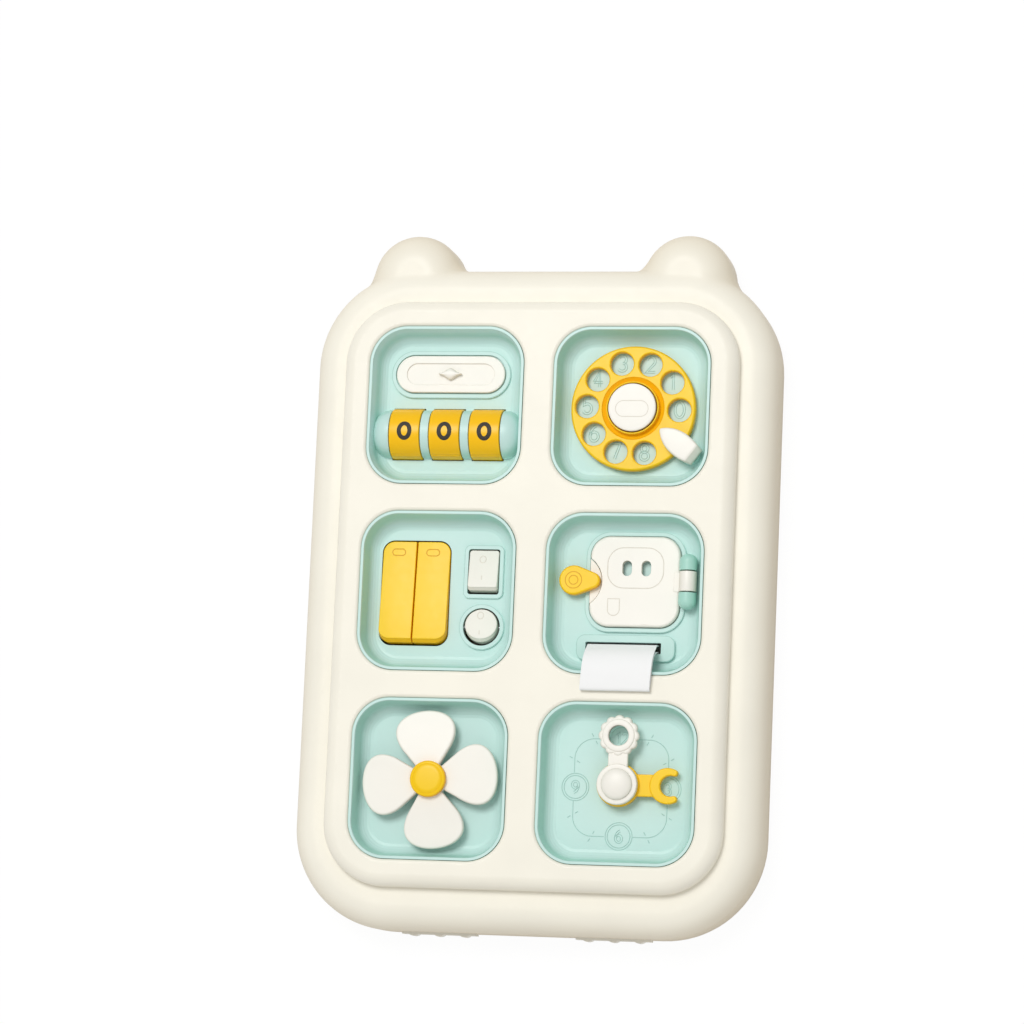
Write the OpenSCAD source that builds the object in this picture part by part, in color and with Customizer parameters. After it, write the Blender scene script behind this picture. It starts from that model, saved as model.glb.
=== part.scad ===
// Activity board for toddlers: a moulded case lying on its back, face up, with six trays of moving toys.
// +X is to the right, +Y is towards the ears and +Z comes out of the face. The origin is on the flat
// back, in the middle of the whole board's outline. All sizes are in millimetres.

/* [Board] */
// Width of the case
board_w = 262; // [254:1:300]
// Height of the case without its ears
board_h = 371; // [364:1:420]
// Thickness from the flat back to the face
board_t = 46; // [44:1:56]
// Corner radius of the case
corner_r = 56; // [48:1:64]
// Wall of the two shells
wall = 2.6; // [2:0.1:3.2]
// Drop from the face to the shoulder round it
step_h = 10; // [8:0.5:12]
// Radius of the roll at the shoulder's outer edge
roll_r = 14; // [10:0.5:15]
// Depth of the back shell
back_t = 8; // [7.5:0.5:10]
// Rounded edge of the flat back
back_edge_r = 3.5; // [2:0.5:5]
// Distance that the trays sit above the middle of the case
grid_rise = 1.2; // [0:0.1:3]

/* [Raised face] */
// Width of the raised face at its foot
face_w = 223; // [216:1:228]
// Height of the raised face at its foot
face_h = 327; // [320:1:334]
// Corner radius of the raised face
face_r = 35; // [28:1:42]
// Rounded edge of the raised face
face_edge_r = 6; // [3:0.5:7]

/* [Ears] */
// Radius of an ear
ear_r = 25.5; // [22:0.5:30]
// Distance of an ear from the middle line
ear_x = 77.5; // [60:0.5:84]
// Height of the ears above the case
ear_rise = 21.4; // [15:0.1:24]
// Radius of an ear's rolled edge
ear_roll_r = 20; // [14:0.5:21]

/* [Foot pads] */
// Distance of a pad from the middle line
pad_x = 49; // [40:1:60]
// Width of a pad
pad_w = 42; // [38:1:50]
// Height of a pad across the case's edge
pad_t = 7; // [5:0.5:8]
// Thickness of a pad's base
pad_base = 1.2; // [1:0.1:1.6]
// Radius of a toe
toe_r = 4; // [3:0.5:5]
// Spacing of the toes
toe_pitch = 14.4; // [12:0.2:15]
// Height of a toe above the case's edge
toe_rise = 2.2; // [1.8:0.1:3]

/* [Trays] */
// Spacing of the trays across the board
pitch_x = 105; // [102:0.5:108]
// Spacing of the trays up the board
pitch_y = 104.2; // [102:0.2:108]
// Width of a tray's mouth
tray_w = 88; // [87:0.5:89]
// Height of a tray's mouth
tray_h = 89; // [88:0.5:90]
// Corner radius of a tray's mouth
tray_r = 21; // [19:0.5:23]
// Depth from the face to a tray's floor
tray_depth = 14; // [13:0.5:15]
// Wall of a tray
tray_t = 2; // [1.6:0.1:2.4]
// Gap between a tray and its window
tray_gap = 0.2; // [0.1:0.05:0.4]
// Drop from the face to a tray's rim
rim_drop = 0.6; // [0.4:0.1:1]
// Width of a tray's rim
rim_land = 1.4; // [1:0.1:1.8]
// Lean of a tray's wall
tray_lean = 1.6; // [0.8:0.1:2.4]
// Fillet between a tray's wall and its floor
floor_fillet = 6; // [4:0.5:7]
// Rounded edge of the windows in the face
window_edge = 2; // [1:0.25:2.4]

/* [Screws] */
// Shank radius of the tray screws
tray_screw_r = 1.3; // [1.1:0.1:1.5]
// Shank radius of the case screws
case_screw_r = 1.75; // [1.5:0.05:2]
// Clearance round every shank
screw_gap = 0.05; // [0.03:0.01:0.1]
// Running clearance of shafts and pins
run_gap = 0.06; // [0.04:0.01:0.1]

/* [Lock tray] */
// Length of the pill-shaped lock plate
lock_w = 62.6; // [58:0.2:66]
// Height of the lock plate
lock_h = 21.3; // [18:0.1:23]
// Lock plate's middle above the tray's middle
lock_y = 19.2; // [18.5:0.1:20]
// Thickness of the lock plate
lock_t = 2.6; // [2.2:0.1:3.4]
// Width of the raised bezel
bezel_w = 2.3; // [1.5:0.1:2.6]
// Rise of the lock plate's bezel
lock_bezel_rise = 1.5; // [1:0.1:2]
// Length of the knob's fin
fin_l = 13.4; // [10:0.2:15]
// Thickness of the knob's fin
fin_t = 2.6; // [2:0.1:3.5]
// Height of the knob's fin
fin_h = 4; // [3:0.25:6]
// Radius of the knob's foot
knob_r = 3.75; // [3:0.25:5]
// Radius of the knob's shaft
knob_shaft_r = 2.5; // [2:0.1:3]

/* [Number wheels] */
// Radius of a number wheel
wheel_r = 14.2; // [13.8:0.1:14.8]
// Width of a number wheel
wheel_w = 17.2; // [15:0.1:19]
// Spacing of the wheels
wheel_pitch = 22.8; // [21:0.1:23]
// Gap round a wheel in its slot
wheel_gap = 0.5; // [0.4:0.1:0.8]
// Wheels' axis below the tray's middle
wheel_y = -14.8; // [-16:0.1:-13.6]
// Wheels' axis below the tray's floor
wheel_drop = 0.4; // [0:0.1:1.5]
// Step from the wheels down to their half-round housing
housing_step = 0.6; // [0.3:0.1:1]
// Half length of the housing
housing_l = 42.2; // [41:0.2:42.6]
// Rounded end of the housing
housing_end_r = 9; // [4:0.5:10]
// Radius of the wheels' axle
axle_r = 2; // [1.5:0.1:2.5]

/* [Dial tray] */
// Radius of the dial
dial_r = 35; // [33:0.25:35.2]
// Thickness of the dial
dial_t = 4.2; // [3.6:0.2:5]
// Gap under the dial
dial_lift = 1.4; // [0.6:0.1:2]
// Radius of a finger hole
hole_r = 6.5; // [6:0.1:7]
// Radius of the circle of finger holes
hole_ring_r = 26; // [25.5:0.25:27]
// Number of hole places round the dial, one of them left solid
hole_places = 10; // [10:1:11]
// Outer radius of the collar round the button
collar_r = 17.5; // [16.5:0.1:18]
// Radius of the button in the dial
button_r = 13.35; // [12.5:0.05:13.4]
// Stroke of the button
button_travel = 1.9; // [1.5:0.1:2]
// Radius of the button's stem
stem_r = 4; // [3.5:0.1:4.5]
// Length of the finger stop
stop_l = 25.6; // [22:0.2:26]
// Widest part of the finger stop
stop_w = 15; // [12:0.5:16]
// Distance of the stop's tip from the dial's middle
stop_tip = 20.4; // [19:0.2:22]
// Direction of the stop from the dial's middle
stop_angle = -37; // [-40:1:-34]

/* [Switch tray] */
// Width of one of the two long rockers
long_w = 19.1; // [18:0.1:20]
// Length of the long rockers
long_l = 57; // [50:0.5:60]
// Middle of the pair of long rockers, across the tray
long_x = -15; // [-16:0.5:-14]
// Tilt of the long rockers each way
long_tilt = 5; // [3:0.5:6]
// Width of the square rocker
square_w = 17; // [15:0.5:18]
// Length of the square rocker
square_l = 22.8; // [20:0.2:24]
// Radius of the round rocker
round_r = 9.2; // [8:0.1:10]
// Tilt of the two small rockers each way
small_tilt = 9; // [6:0.5:10]
// Middle of the small rockers, across the tray
small_x = 23.7; // [23.2:0.1:24]
// Square rocker's middle above the tray's middle
square_y = 12.4; // [11.5:0.1:13]
// Round rocker's middle above the tray's middle
round_y = -18.4; // [-19:0.1:-18]
// Gap between a rocker and its window
rocker_gap = 0.45; // [0.35:0.05:0.7]
// Rise of the small rockers' bezels
rocker_bezel_rise = 1.2; // [0.8:0.1:1.6]

/* [Door tray] */
// Width and height of the door
door_w = 50.4; // [46:0.2:51]
// Corner radius of the door
door_r = 11; // [8:0.5:12]
// Middle of the door, across the tray
door_x = 4.4; // [4:0.1:4.8]
// Middle of the door above the tray's middle
door_y = 7.9; // [7:0.1:8.2]
// Thickness of the door
door_t = 3.7; // [3:0.1:4]
// Depth of the recess for a picture card behind the door
pocket_depth = 1.2; // [0.8:0.1:2]
// Radius of the hinge's knuckles
knuckle_r = 4.9; // [4.6:0.1:5]
// Hinge's axis, across the tray
hinge_x = 34.4; // [34.2:0.1:34.6]
// Hinge's axis above the tray's floor
hinge_z = 6.2; // [6:0.1:6.5]
// Radius of the hinge's pin
hinge_pin_r = 1.6; // [1.4:0.1:2]
// Length of the door's own knuckle
knuckle_l = 12; // [10:0.2:13]
// Length of the whole hinge
hinge_l = 30.3; // [28:0.1:31]
// Latch's pivot, across the tray
latch_x = -29.2; // [-29.6:0.1:-28.8]
// Radius of the latch at its pivot
latch_hub_r = 8.2; // [7:0.1:8.6]
// Radius of the latch's tip
latch_tip_r = 4.5; // [4:0.1:5]
// Reach of the latch from its pivot
latch_reach = 14.6; // [14:0.1:17]
// Thickness of the latch
latch_t = 4.5; // [4:0.1:5.5]

/* [Ribbon] */
// Width of the ribbon
ribbon_w = 38.8; // [36:0.2:40]
// Thickness of the ribbon
ribbon_t = 0.8; // [0.6:0.1:1]
// Slot's middle, across the tray
slot_x = -0.9; // [-2:0.1:0]
// Slot's middle above the tray's lower edge
slot_in = 15.8; // [15.3:0.1:16.3]
// Height of the slot
slot_h = 6.2; // [5.8:0.1:6.6]
// Rise of the bar round the slot
slot_bar_rise = 2.5; // [1.5:0.1:3]
// Radius of the ribbon's hidden roller
roller_r = 4.4; // [4:0.1:4.8]

/* [Fan tray] */
// Radius that the petals reach
fan_r = 38.2; // [36:0.1:40]
// Half the width of a petal
petal_w = 16.2; // [14:0.1:16.5]
// Thickness of a petal
petal_t = 3; // [2.4:0.1:3.6]
// Droop of the petals towards their tips
petal_droop = 4; // [2:0.5:5]
// Turn of the fan at rest
fan_turn = 7.5; // [0:0.5:45]
// Radius of the fan's cap
fan_cap_r = 10; // [9:0.1:10.5]

/* [Clock tray] */
// Distance of the ring spanner's ring from the clock's middle
ring_reach = 26.6; // [25:0.1:28]
// Outer radius of the ring spanner's ring
ring_r = 11.4; // [10:0.1:11.6]
// Hole in the ring spanner's ring
ring_hole_r = 5.5; // [4.5:0.1:6]
// Number of scallops round the ring
scallops = 12; // [9:1:13]
// Distance of the open spanner's jaw from the clock's middle
jaw_reach = 27.3; // [26:0.1:28.4]
// Outer radius of the open spanner's jaw
jaw_r = 9.9; // [9:0.1:10.8]
// Inner radius of the open spanner's jaw
jaw_hole_r = 5.6; // [5:0.1:6.4]
// Shift of the jaw's hole towards its mouth
jaw_shift = 1.6; // [1:0.1:2]
// Distance from the jaw's middle to its cut tips
jaw_cut = 5.9; // [4.5:0.1:6.5]
// Radius of the spanners' hubs
hub_r = 11.3; // [10:0.1:12]
// Thickness of each spanner's hub
hand_t = 3.4; // [3:0.1:4]
// Radius of the cap on the clock
clock_cap_r = 8.75; // [8:0.05:9.5]

/* [Hidden] */
$fn = 64;

cream = [0.97, 0.95, 0.89];
mint = [0.74, 0.90, 0.86];
yellow = [0.98, 0.81, 0.22];
white = [0.98, 0.97, 0.95];
steel = [0.75, 0.76, 0.78];

// Heights
floor_z = board_t - tray_depth;
under_z = floor_z - tray_t;
shoulder_z = board_t - step_h;
face_under_z = board_t - wall;
lug_z = floor_z + 3.4;
lug_t = 2;
boss_end_z = lug_z + lug_t;

// The middle of the board's whole outline is at the origin
case_y = (toe_rise - ear_rise) / 2;
grid_y = case_y + grid_rise;
ear_y = case_y + board_h / 2 + ear_rise - ear_r;

// Trays, by column and row
function cell(column, row) = [(column - 0.5) * pitch_x, grid_y + (1 - row) * pitch_y, 0];
cells = [for (row = [0:2], column = [0:1]) cell(column, row)];

// Screws
lug_in = 1.5;
lugs = [for (sx = [-1, 1], sy = [-1, 1]) [sx * (tray_w / 2 - lug_in), sy * (tray_h / 2 - lug_in), 0]];
side_inset = 16;
corner_inset = 28.5;
case_screw_places = [
    for (sx = [-1, 1]) [sx * (board_w / 2 - side_inset), case_y, 0],
    for (sy = [-1, 1]) [0, case_y + sy * (board_h / 2 - side_inset - 3), 0],
    for (sx = [-1, 1], sy = [-1, 1])
        [sx * (board_w / 2 - corner_inset), case_y + sy * (board_h / 2 - corner_inset), 0]
];
case_boss_r = 4.5;
case_head_r = 3.4;
case_head_t = 2;
head_pocket = 4;
bite = 14;

// Number wheels
wheel_z = floor_z - wheel_drop;
slot_cut_r = wheel_r + wheel_gap;
axle_l = 2 * housing_l - 5;

// Dial
dial_z = floor_z + dial_lift;
dial_top_z = dial_z + dial_t;
web_z = dial_z + dial_t / 2;
sleeve_r = 9;
spring_room_r = 7.2;
washer_r = 12;
washer_t = 1.2;
washer_z = web_z + 0.2;
// Pressed home, the button stays clear of the washer and just above the collar
button_crown_z = max(washer_z + washer_t + 0.5, dial_top_z + 0.2) + button_travel;
button_t = 1.8;
sleeve_foot_z = under_z - 4;
stop_z = dial_top_z + 0.6;
stop_t = 5;
stop_post = 41;
stop_post_r = 4;

// Rockers
long_window_w = 2 * long_w + 0.4 + 2 * rocker_gap;
long_pivot_drop = 5;
long_rise = 7.4;
small_pivot_drop = 3.5;
small_rise = 6;
pin_r = 1.5;

// Door
door_z = floor_z + 0.3;
door_gap = 0.4;
rim_rise = 1.5;
hinge_axis_z = floor_z + hinge_z;
pocket_w = door_w - 9;
pocket_r = 7;
latch_z = floor_z + 2.8;
latch_stem_r = 2.5;
latch_sweep = latch_reach + 0.8;
latch_gap = 0.4;
slot_w = ribbon_w + 3.4;
slot_y = slot_in - tray_h / 2;
bar_w = 54.9;
bar_h = 14.4;
roller_z = 13;

// Fan and clock
petal_foot = 7.5;
petal_lift = 0.4;
petal_z = floor_z + 7;
spigot_h = 2.2;
fan_hub_r = 10;
fan_axle_r = 2.5;
open_z = floor_z + 3.6;
ring_z = open_z + hand_t + 0.4;
post_r = 3;

// ---- Shapes used by several pieces ----

// A flat rectangle with round corners.
module rounded_rect(w, h, r) {
    square([w - 2 * r, h], center = true);
    square([w, h - 2 * r], center = true);
    for (sx = [-1, 1], sy = [-1, 1])
        translate([sx * (w / 2 - r), sy * (h / 2 - r)]) circle(r);
}

// A flat shape with two round ends.
module pill(w, h) {
    rounded_rect(w, h, h / 2 - 0.001);
}

// Carries a profile round a rounded rectangle. The profile's x is the distance from a corner's centre.
module carry_round(w, h, r) {
    for (turn = [0:3])
        translate([(turn == 0 || turn == 3 ? 1 : -1) * (w / 2 - r), (turn < 2 ? 1 : -1) * (h / 2 - r), 0])
            rotate(90 * turn) rotate_extrude(angle = 90) children();
    for (side = [0, 1]) {
        mirror([0, side, 0]) translate([r - w / 2, h / 2 - r, 0])
            rotate([90, 0, 90]) linear_extrude(w - 2 * r) children();
        mirror([side, 0, 0]) translate([w / 2 - r, h / 2 - r, 0])
            rotate([90, 0, 0]) linear_extrude(h - 2 * r) children();
    }
}

// A flat profile from the axis out to x, from z0 to z1, with its top outer corner rounded.
module shoulder_profile(x, z0, z1, r) {
    translate([0, z0]) square([x, z1 - z0 - r]);
    translate([0, z0]) square([x - r, z1 - z0]);
    translate([x - r, z1 - r]) circle(r);
}

// The same profile for a roll that reaches past the axis.
module dome_profile(x, z0, z1, r) {
    intersection() {
        shoulder_profile(x, z0, z1, r);
        translate([0, z0]) square([x, z1 - z0]);
    }
}

// A rounded rectangular block with a rolled top edge.
module rolled_block(w, h, r, z0, z1, roll) {
    carry_round(w, h, r) shoulder_profile(r, z0, z1, roll);
    translate([r - w / 2, r - h / 2, z0]) cube([w - 2 * r, h - 2 * r, z1 - z0]);
}

// A tube or a disc with a hole.
module tube(outer, inner, h) {
    difference() {
        cylinder(r = outer, h = h);
        translate([0, 0, -1]) cylinder(r = inner, h = h + 2);
    }
}

// A pan-head screw pointing up, its head's bearing face at z = 0.
module screw(shank, length, head, head_h) {
    cylinder(r = shank, h = length);
    translate([0, 0, -head_h]) cylinder(r = head, h = head_h);
}

// A soft-edged slab: a full-size lower part and a top drawn in by the edge.
module soft_slab(w, l, r, z0, z1, edge) {
    hull() {
        translate([0, 0, z0]) linear_extrude(z1 - z0 - edge) rounded_rect(w, l, r, $fn = 32);
        translate([0, 0, z0]) linear_extrude(z1 - z0)
            rounded_rect(w - edge, l - edge, r - edge / 2, $fn = 32);
    }
}

// Arc points for a polygon.
function arc(x, y, r, a0, a1, steps) =
    [for (i = [0:steps]) let (a = a0 + (a1 - a0) * i / steps) [x + r * cos(a), y + r * sin(a)]];

// ---- Case ----

// The outside of the case, or the space inside it when inset by a wall.
module case_form(inset, z0) {
    translate([0, case_y, 0])
        rolled_block(board_w - 2 * inset, board_h - 2 * inset, corner_r - inset,
            z0, shoulder_z - inset, roll_r - inset);
    translate([0, grid_y, 0])
        rolled_block(face_w - 2 * inset, face_h - 2 * inset, face_r - inset,
            z0, board_t - inset, face_edge_r - min(inset, face_edge_r - 1));
    for (side = [-1, 1])
        translate([side * ear_x, ear_y, 0])
            rotate_extrude() dome_profile(ear_r - inset, z0, shoulder_z - inset, ear_roll_r - inset);
}

// The case's outline as a flat shape.
module case_outline(inset) {
    translate([0, case_y]) rounded_rect(board_w - 2 * inset, board_h - 2 * inset, corner_r - inset);
    for (side = [-1, 1]) translate([side * ear_x, ear_y]) circle(ear_r - inset);
}

// A window's cutter: a straight opening with a flared, rounded mouth.
module window_cutter() {
    translate([0, 0, face_under_z - 1]) linear_extrude(wall + 2) rounded_rect(tray_w, tray_h, tray_r);
    carry_round(tray_w, tray_h, tray_r)
        polygon(concat([[tray_r - 1, board_t - window_edge], [tray_r - 1, board_t + 1],
            [tray_r + window_edge, board_t + 1]],
            arc(tray_r + window_edge, board_t - window_edge, window_edge, 90, 180, 5)));
}

module front_shell() {
    color(cream) difference() {
        union() {
            difference() {
                case_form(0, back_t);
                case_form(wall, back_t - 1);
            }
            // Bosses reach up into the wall, whichever part of the form is above them
            intersection() {
                case_form(wall / 2, back_t);
                for (place = case_screw_places) translate(place + [0, 0, back_t])
                    cylinder(r = case_boss_r, h = board_t);
            }
            for (middle = cells, lug = lugs) translate(middle + lug + [0, 0, boss_end_z])
                cylinder(r = 2 * tray_screw_r + 0.6, h = face_under_z + wall / 2 - boss_end_z);
        }
        for (middle = cells) translate(middle) window_cutter();
        for (place = case_screw_places) translate(place + [0, 0, back_t - 1])
            cylinder(r = case_screw_r + screw_gap, h = bite + 2);
        for (middle = cells, lug = lugs) translate(middle + lug + [0, 0, boss_end_z - 1])
            cylinder(r = tray_screw_r + screw_gap, h = face_under_z - boss_end_z + 1);
    }
}

module back_shell() {
    color(cream) difference() {
        union() {
            difference() {
                mirror([0, 0, 1]) translate([0, 0, -back_t]) union() {
                    translate([0, case_y, 0])
                        rolled_block(board_w, board_h, corner_r, 0.15, back_t, back_edge_r);
                    for (side = [-1, 1]) translate([side * ear_x, ear_y, 0])
                        rotate_extrude() shoulder_profile(ear_r, 0.15, back_t, back_edge_r);
                }
                translate([0, 0, wall]) linear_extrude(back_t) case_outline(wall);
            }
            for (place = case_screw_places) translate(place + [0, 0, wall / 2])
                cylinder(r = case_boss_r + 1.2, h = back_t - wall / 2);
        }
        for (place = case_screw_places) translate(place) {
            translate([0, 0, -1]) cylinder(r = case_head_r + 0.4, h = head_pocket + 1);
            translate([0, 0, -1]) cylinder(r = case_screw_r + 2 * screw_gap, h = back_t + 2);
        }
    }
}

// Soft pads let into the case's lower edge, each with three rounded toes.
module foot_pads() {
    color(white) for (side = [-1, 1])
        translate([side * pad_x, case_y - board_h / 2, back_t + 0.5]) {
            translate([-pad_w / 2, -pad_base, 0]) cube([pad_w, pad_base, pad_t]);
            for (toe = [-1:1]) intersection() {
                translate([toe * toe_pitch, toe_r - toe_rise, 0]) cylinder(r = toe_r, h = pad_t);
                translate([-pad_w, -toe_rise - 1, 0]) cube([2 * pad_w, toe_rise + 1, pad_t]);
            }
        }
}

module case_screws() {
    color(steel) for (place = case_screw_places)
        translate(place + [0, 0, head_pocket])
            screw(case_screw_r, bite + back_t - head_pocket, case_head_r, case_head_t);
}

module tray_screws() {
    color(steel) for (middle = cells, lug = lugs)
        translate(middle + lug + [0, 0, lug_z])
            screw(tray_screw_r, lug_t + face_under_z - boss_end_z - 1, 2 * tray_screw_r, 1.4);
}

// ---- Trays ----

// The wall and floor of a tray, as a profile from a corner's centre outwards.
module tray_profile(r) {
    wall_x = r - rim_land - tray_lean;
    bend_x = wall_x - floor_fillet;
    bend_z = floor_z + floor_fillet;
    rim_z = board_t - rim_drop;
    polygon(concat(
        [[0, under_z]],
        arc(bend_x, bend_z, floor_fillet + tray_t, -90, 0, 6),
        [[r, rim_z - 3], [r, rim_z], [r - rim_land, rim_z]],
        arc(bend_x, bend_z, floor_fillet, 0, -90, 6),
        [[0, floor_z]]));
}

// A plain tray: wall, floor and four lugs that screw up to the case's bosses.
module tray() {
    r = tray_r - tray_gap;
    w = tray_w - 2 * tray_gap;
    h = tray_h - 2 * tray_gap;
    carry_round(w, h, r) tray_profile(r);
    translate([r - w / 2, r - h / 2, under_z]) cube([w - 2 * r, h - 2 * r, tray_t]);
    for (sx = [-1, 1], sy = [-1, 1]) difference() {
        translate([sx * (w / 2 - r), sy * (h / 2 - r), lug_z]) rotate(atan2(sy, sx)) {
            reach = sqrt(2) * (r - lug_in + tray_gap);
            translate([r - 2.4, -4, 0]) cube([reach - r + 2.4, 8, lug_t]);
            translate([reach, 0, 0]) cylinder(r = 4, h = lug_t);
        }
        translate([sx * (tray_w / 2 - lug_in), sy * (tray_h / 2 - lug_in), lug_z - 1])
            cylinder(r = tray_screw_r + screw_gap, h = lug_t + 2);
    }
}

// ---- Lock and number wheels, top left ----

// The half-round housing, a solid of revolution about the wheels' axis.
module wheel_housing() {
    r = wheel_r - housing_step;
    translate([0, wheel_y, wheel_z]) rotate([0, 90, 0]) for (side = [0, 1]) mirror([0, 0, side])
        rotate_extrude() dome_profile(r, 0, housing_l, housing_end_r);
}

module tray_lock() {
    color(mint) translate(cell(0, 0)) difference() {
        union() {
            tray();
            intersection() {
                wheel_housing();
                translate([-tray_w / 2, -tray_h / 2, under_z]) cube([tray_w, tray_h, board_t]);
            }
            for (x = [-1.5, -0.5, 0.5, 1.5] * wheel_pitch)
                translate([x, wheel_y, 0]) {
                    divider = wheel_pitch - wheel_w - 2 * wheel_gap;
                    web = abs(x) > wheel_pitch ? 3 : divider;
                    shift = abs(x) > wheel_pitch ? sign(x) * (web - divider) / 2 : 0;
                    translate([shift - web / 2, -5, wheel_z - 4]) cube([web, 10, floor_z - wheel_z + 3]);
                }
            translate([0, lock_y, floor_z - 1]) linear_extrude(lock_bezel_rise + 1) difference() {
                pill(lock_w + 2 * bezel_w + 1, lock_h + 2 * bezel_w + 1);
                pill(lock_w + 1, lock_h + 1);
            }
        }
        for (place = [-1:1])
            translate([(place - 0.5) * wheel_pitch + (wheel_pitch - wheel_w) / 2 - wheel_gap,
                wheel_y, wheel_z])
                rotate([0, 90, 0]) cylinder(r = slot_cut_r, h = wheel_w + 2 * wheel_gap);
        translate([-axle_l / 2, wheel_y, wheel_z]) rotate([0, 90, 0])
            cylinder(r = axle_r + screw_gap, h = axle_l);
        translate([0, lock_y, under_z - 1]) cylinder(r = knob_shaft_r + run_gap, h = tray_t + 3);
    }
}

module lock_plate() {
    color(white) translate(cell(0, 0) + [0, lock_y, floor_z]) difference() {
        union() {
            linear_extrude(lock_t - 0.8) pill(lock_w, lock_h);
            linear_extrude(lock_t) difference() {
                pill(lock_w - 0.8, lock_h - 0.8);
                pill(lock_w - 12.6, lock_h - 9.3);
            }
        }
        translate([0, 0, -1]) cylinder(r = knob_shaft_r + run_gap, h = lock_t + 2);
    }
}

// A thumb-turn: a lens-shaped fin on a round foot, with a shaft through the plate and the floor.
module turn_knob() {
    foot_z = floor_z + lock_t - 0.8 + 0.1;
    lens_r = (pow(fin_l / 2, 2) + pow(fin_t / 2, 2)) / fin_t;
    color(white) translate(cell(0, 0) + [0, lock_y, 0]) {
        translate([0, 0, foot_z]) cylinder(r = knob_r, h = 1.1);
        translate([0, 0, foot_z + 1]) linear_extrude(fin_h) intersection() {
            translate([0, lens_r - fin_t / 2]) circle(lens_r, $fn = 200);
            translate([0, fin_t / 2 - lens_r]) circle(lens_r, $fn = 200);
        }
        translate([0, 0, foot_z + 1]) intersection() {
            cylinder(r1 = knob_r, r2 = knob_r - 2, h = fin_h / 2);
            translate([-knob_r, -knob_r, 0]) cube([2 * knob_r, 2 * knob_r, fin_h]);
        }
        translate([0, 0, under_z - 2.4]) cylinder(r = knob_shaft_r, h = foot_z - under_z + 3);
    }
}

// A spring clip that keeps the knob's shaft in.
module knob_clip() {
    color(steel) translate(cell(0, 0) + [0, lock_y, under_z - 1.2])
        tube(knob_shaft_r + 2.2, knob_shaft_r + 0.02, 1);
}

module wheel_axle() {
    color(steel) translate(cell(0, 0) + [-axle_l / 2 + 1, wheel_y, wheel_z]) rotate([0, 90, 0])
        cylinder(r = axle_r, h = axle_l - 2);
}

// One wheel, dished on both sides round its hub.
module number_wheel(place) {
    half = wheel_w / 2;
    side = [[axle_r + run_gap, half - 0.3], [5, half - 0.3], [5, 3], [wheel_r - 2.6, 3],
        [wheel_r - 2.6, half], [wheel_r - 0.5, half], [wheel_r, half - 0.5]];
    other = [for (i = [len(side) - 1:-1:0]) [side[i][0], -side[i][1]]];
    color(yellow) translate(cell(0, 0) + [place * wheel_pitch, wheel_y, wheel_z]) rotate([0, 90, 0])
        rotate_extrude() polygon(concat(side, other));
}
module number_wheel_1() { number_wheel(-1); }
module number_wheel_2() { number_wheel(0); }
module number_wheel_3() { number_wheel(1); }

// ---- Dial, top right ----

module tray_dial() {
    color(mint) translate(cell(1, 0)) difference() {
        union() {
            tray();
            translate([0, 0, sleeve_foot_z]) cylinder(r = sleeve_r, h = washer_z - sleeve_foot_z);
            rotate(stop_angle) translate([stop_post, 0, floor_z - 1])
                cylinder(r = stop_post_r + 1.6, h = dial_top_z - floor_z + 0.6);
        }
        translate([0, 0, under_z]) cylinder(r = spring_room_r, h = board_t);
        translate([0, 0, sleeve_foot_z - 1]) cylinder(r = stem_r + run_gap, h = board_t);
        rotate(stop_angle) translate([stop_post, 0, floor_z])
            cylinder(r = stop_post_r + screw_gap, h = board_t);
    }
}

// The finger wheel. Its holes leave one place solid, under the finger stop.
module dial_ring() {
    edge = 1;
    color(yellow) translate(cell(1, 0)) difference() {
        rotate_extrude() polygon([[collar_r, dial_z], [dial_r - edge, dial_z], [dial_r, dial_z + edge],
            [dial_r, dial_top_z - edge], [dial_r - edge / 3, dial_top_z - edge / 3],
            [dial_r - edge, dial_top_z], [collar_r, dial_top_z]]);
        for (place = [1:hole_places - 1])
            rotate(stop_angle - 1 + place * 360 / hole_places) translate([hole_ring_r, 0, dial_z - 1])
                cylinder(r = hole_r, h = dial_t + 2);
    }
}

// The collar pressed into the finger wheel: a web that turns on the sleeve, a lip and a sloped band.
module dial_collar() {
    bore = sleeve_r + run_gap;
    well = button_r + 0.45;
    band = collar_r - 0.02;
    color(yellow) translate(cell(1, 0)) rotate_extrude()
        polygon([[bore, dial_z], [band, dial_z], [band, dial_top_z], [band - 0.6, dial_top_z - 1],
            [well + 1.2, dial_top_z - 1.2], [well + 0.7, dial_top_z], [well, dial_top_z], [well, web_z],
            [bore, web_z]]);
}

// A washer on top of the sleeve that keeps the dial down.
module dial_washer() {
    color(white) translate(cell(1, 0) + [0, 0, washer_z]) tube(washer_r, spring_room_r, washer_t);
}

// The button: a crowned cap and a long stem.
module dial_button() {
    color(white) translate(cell(1, 0)) {
        rotate_extrude() polygon([[0, button_crown_z], [button_r, button_crown_z],
            [button_r, button_crown_z + 0.8], [button_r - 0.6, button_crown_z + 1.4],
            [0, button_crown_z + button_t]]);
        translate([0, 0, sleeve_foot_z - button_travel - 2])
            cylinder(r = stem_r, h = button_crown_z - sleeve_foot_z + button_travel + 2.5);
    }
}

// A point on the spring's wire path at a share of its length.
function coil_point(share, r, turns, z0, z1) =
    [r * cos(360 * turns * share), r * sin(360 * turns * share), z0 + (z1 - z0) * share];

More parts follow.
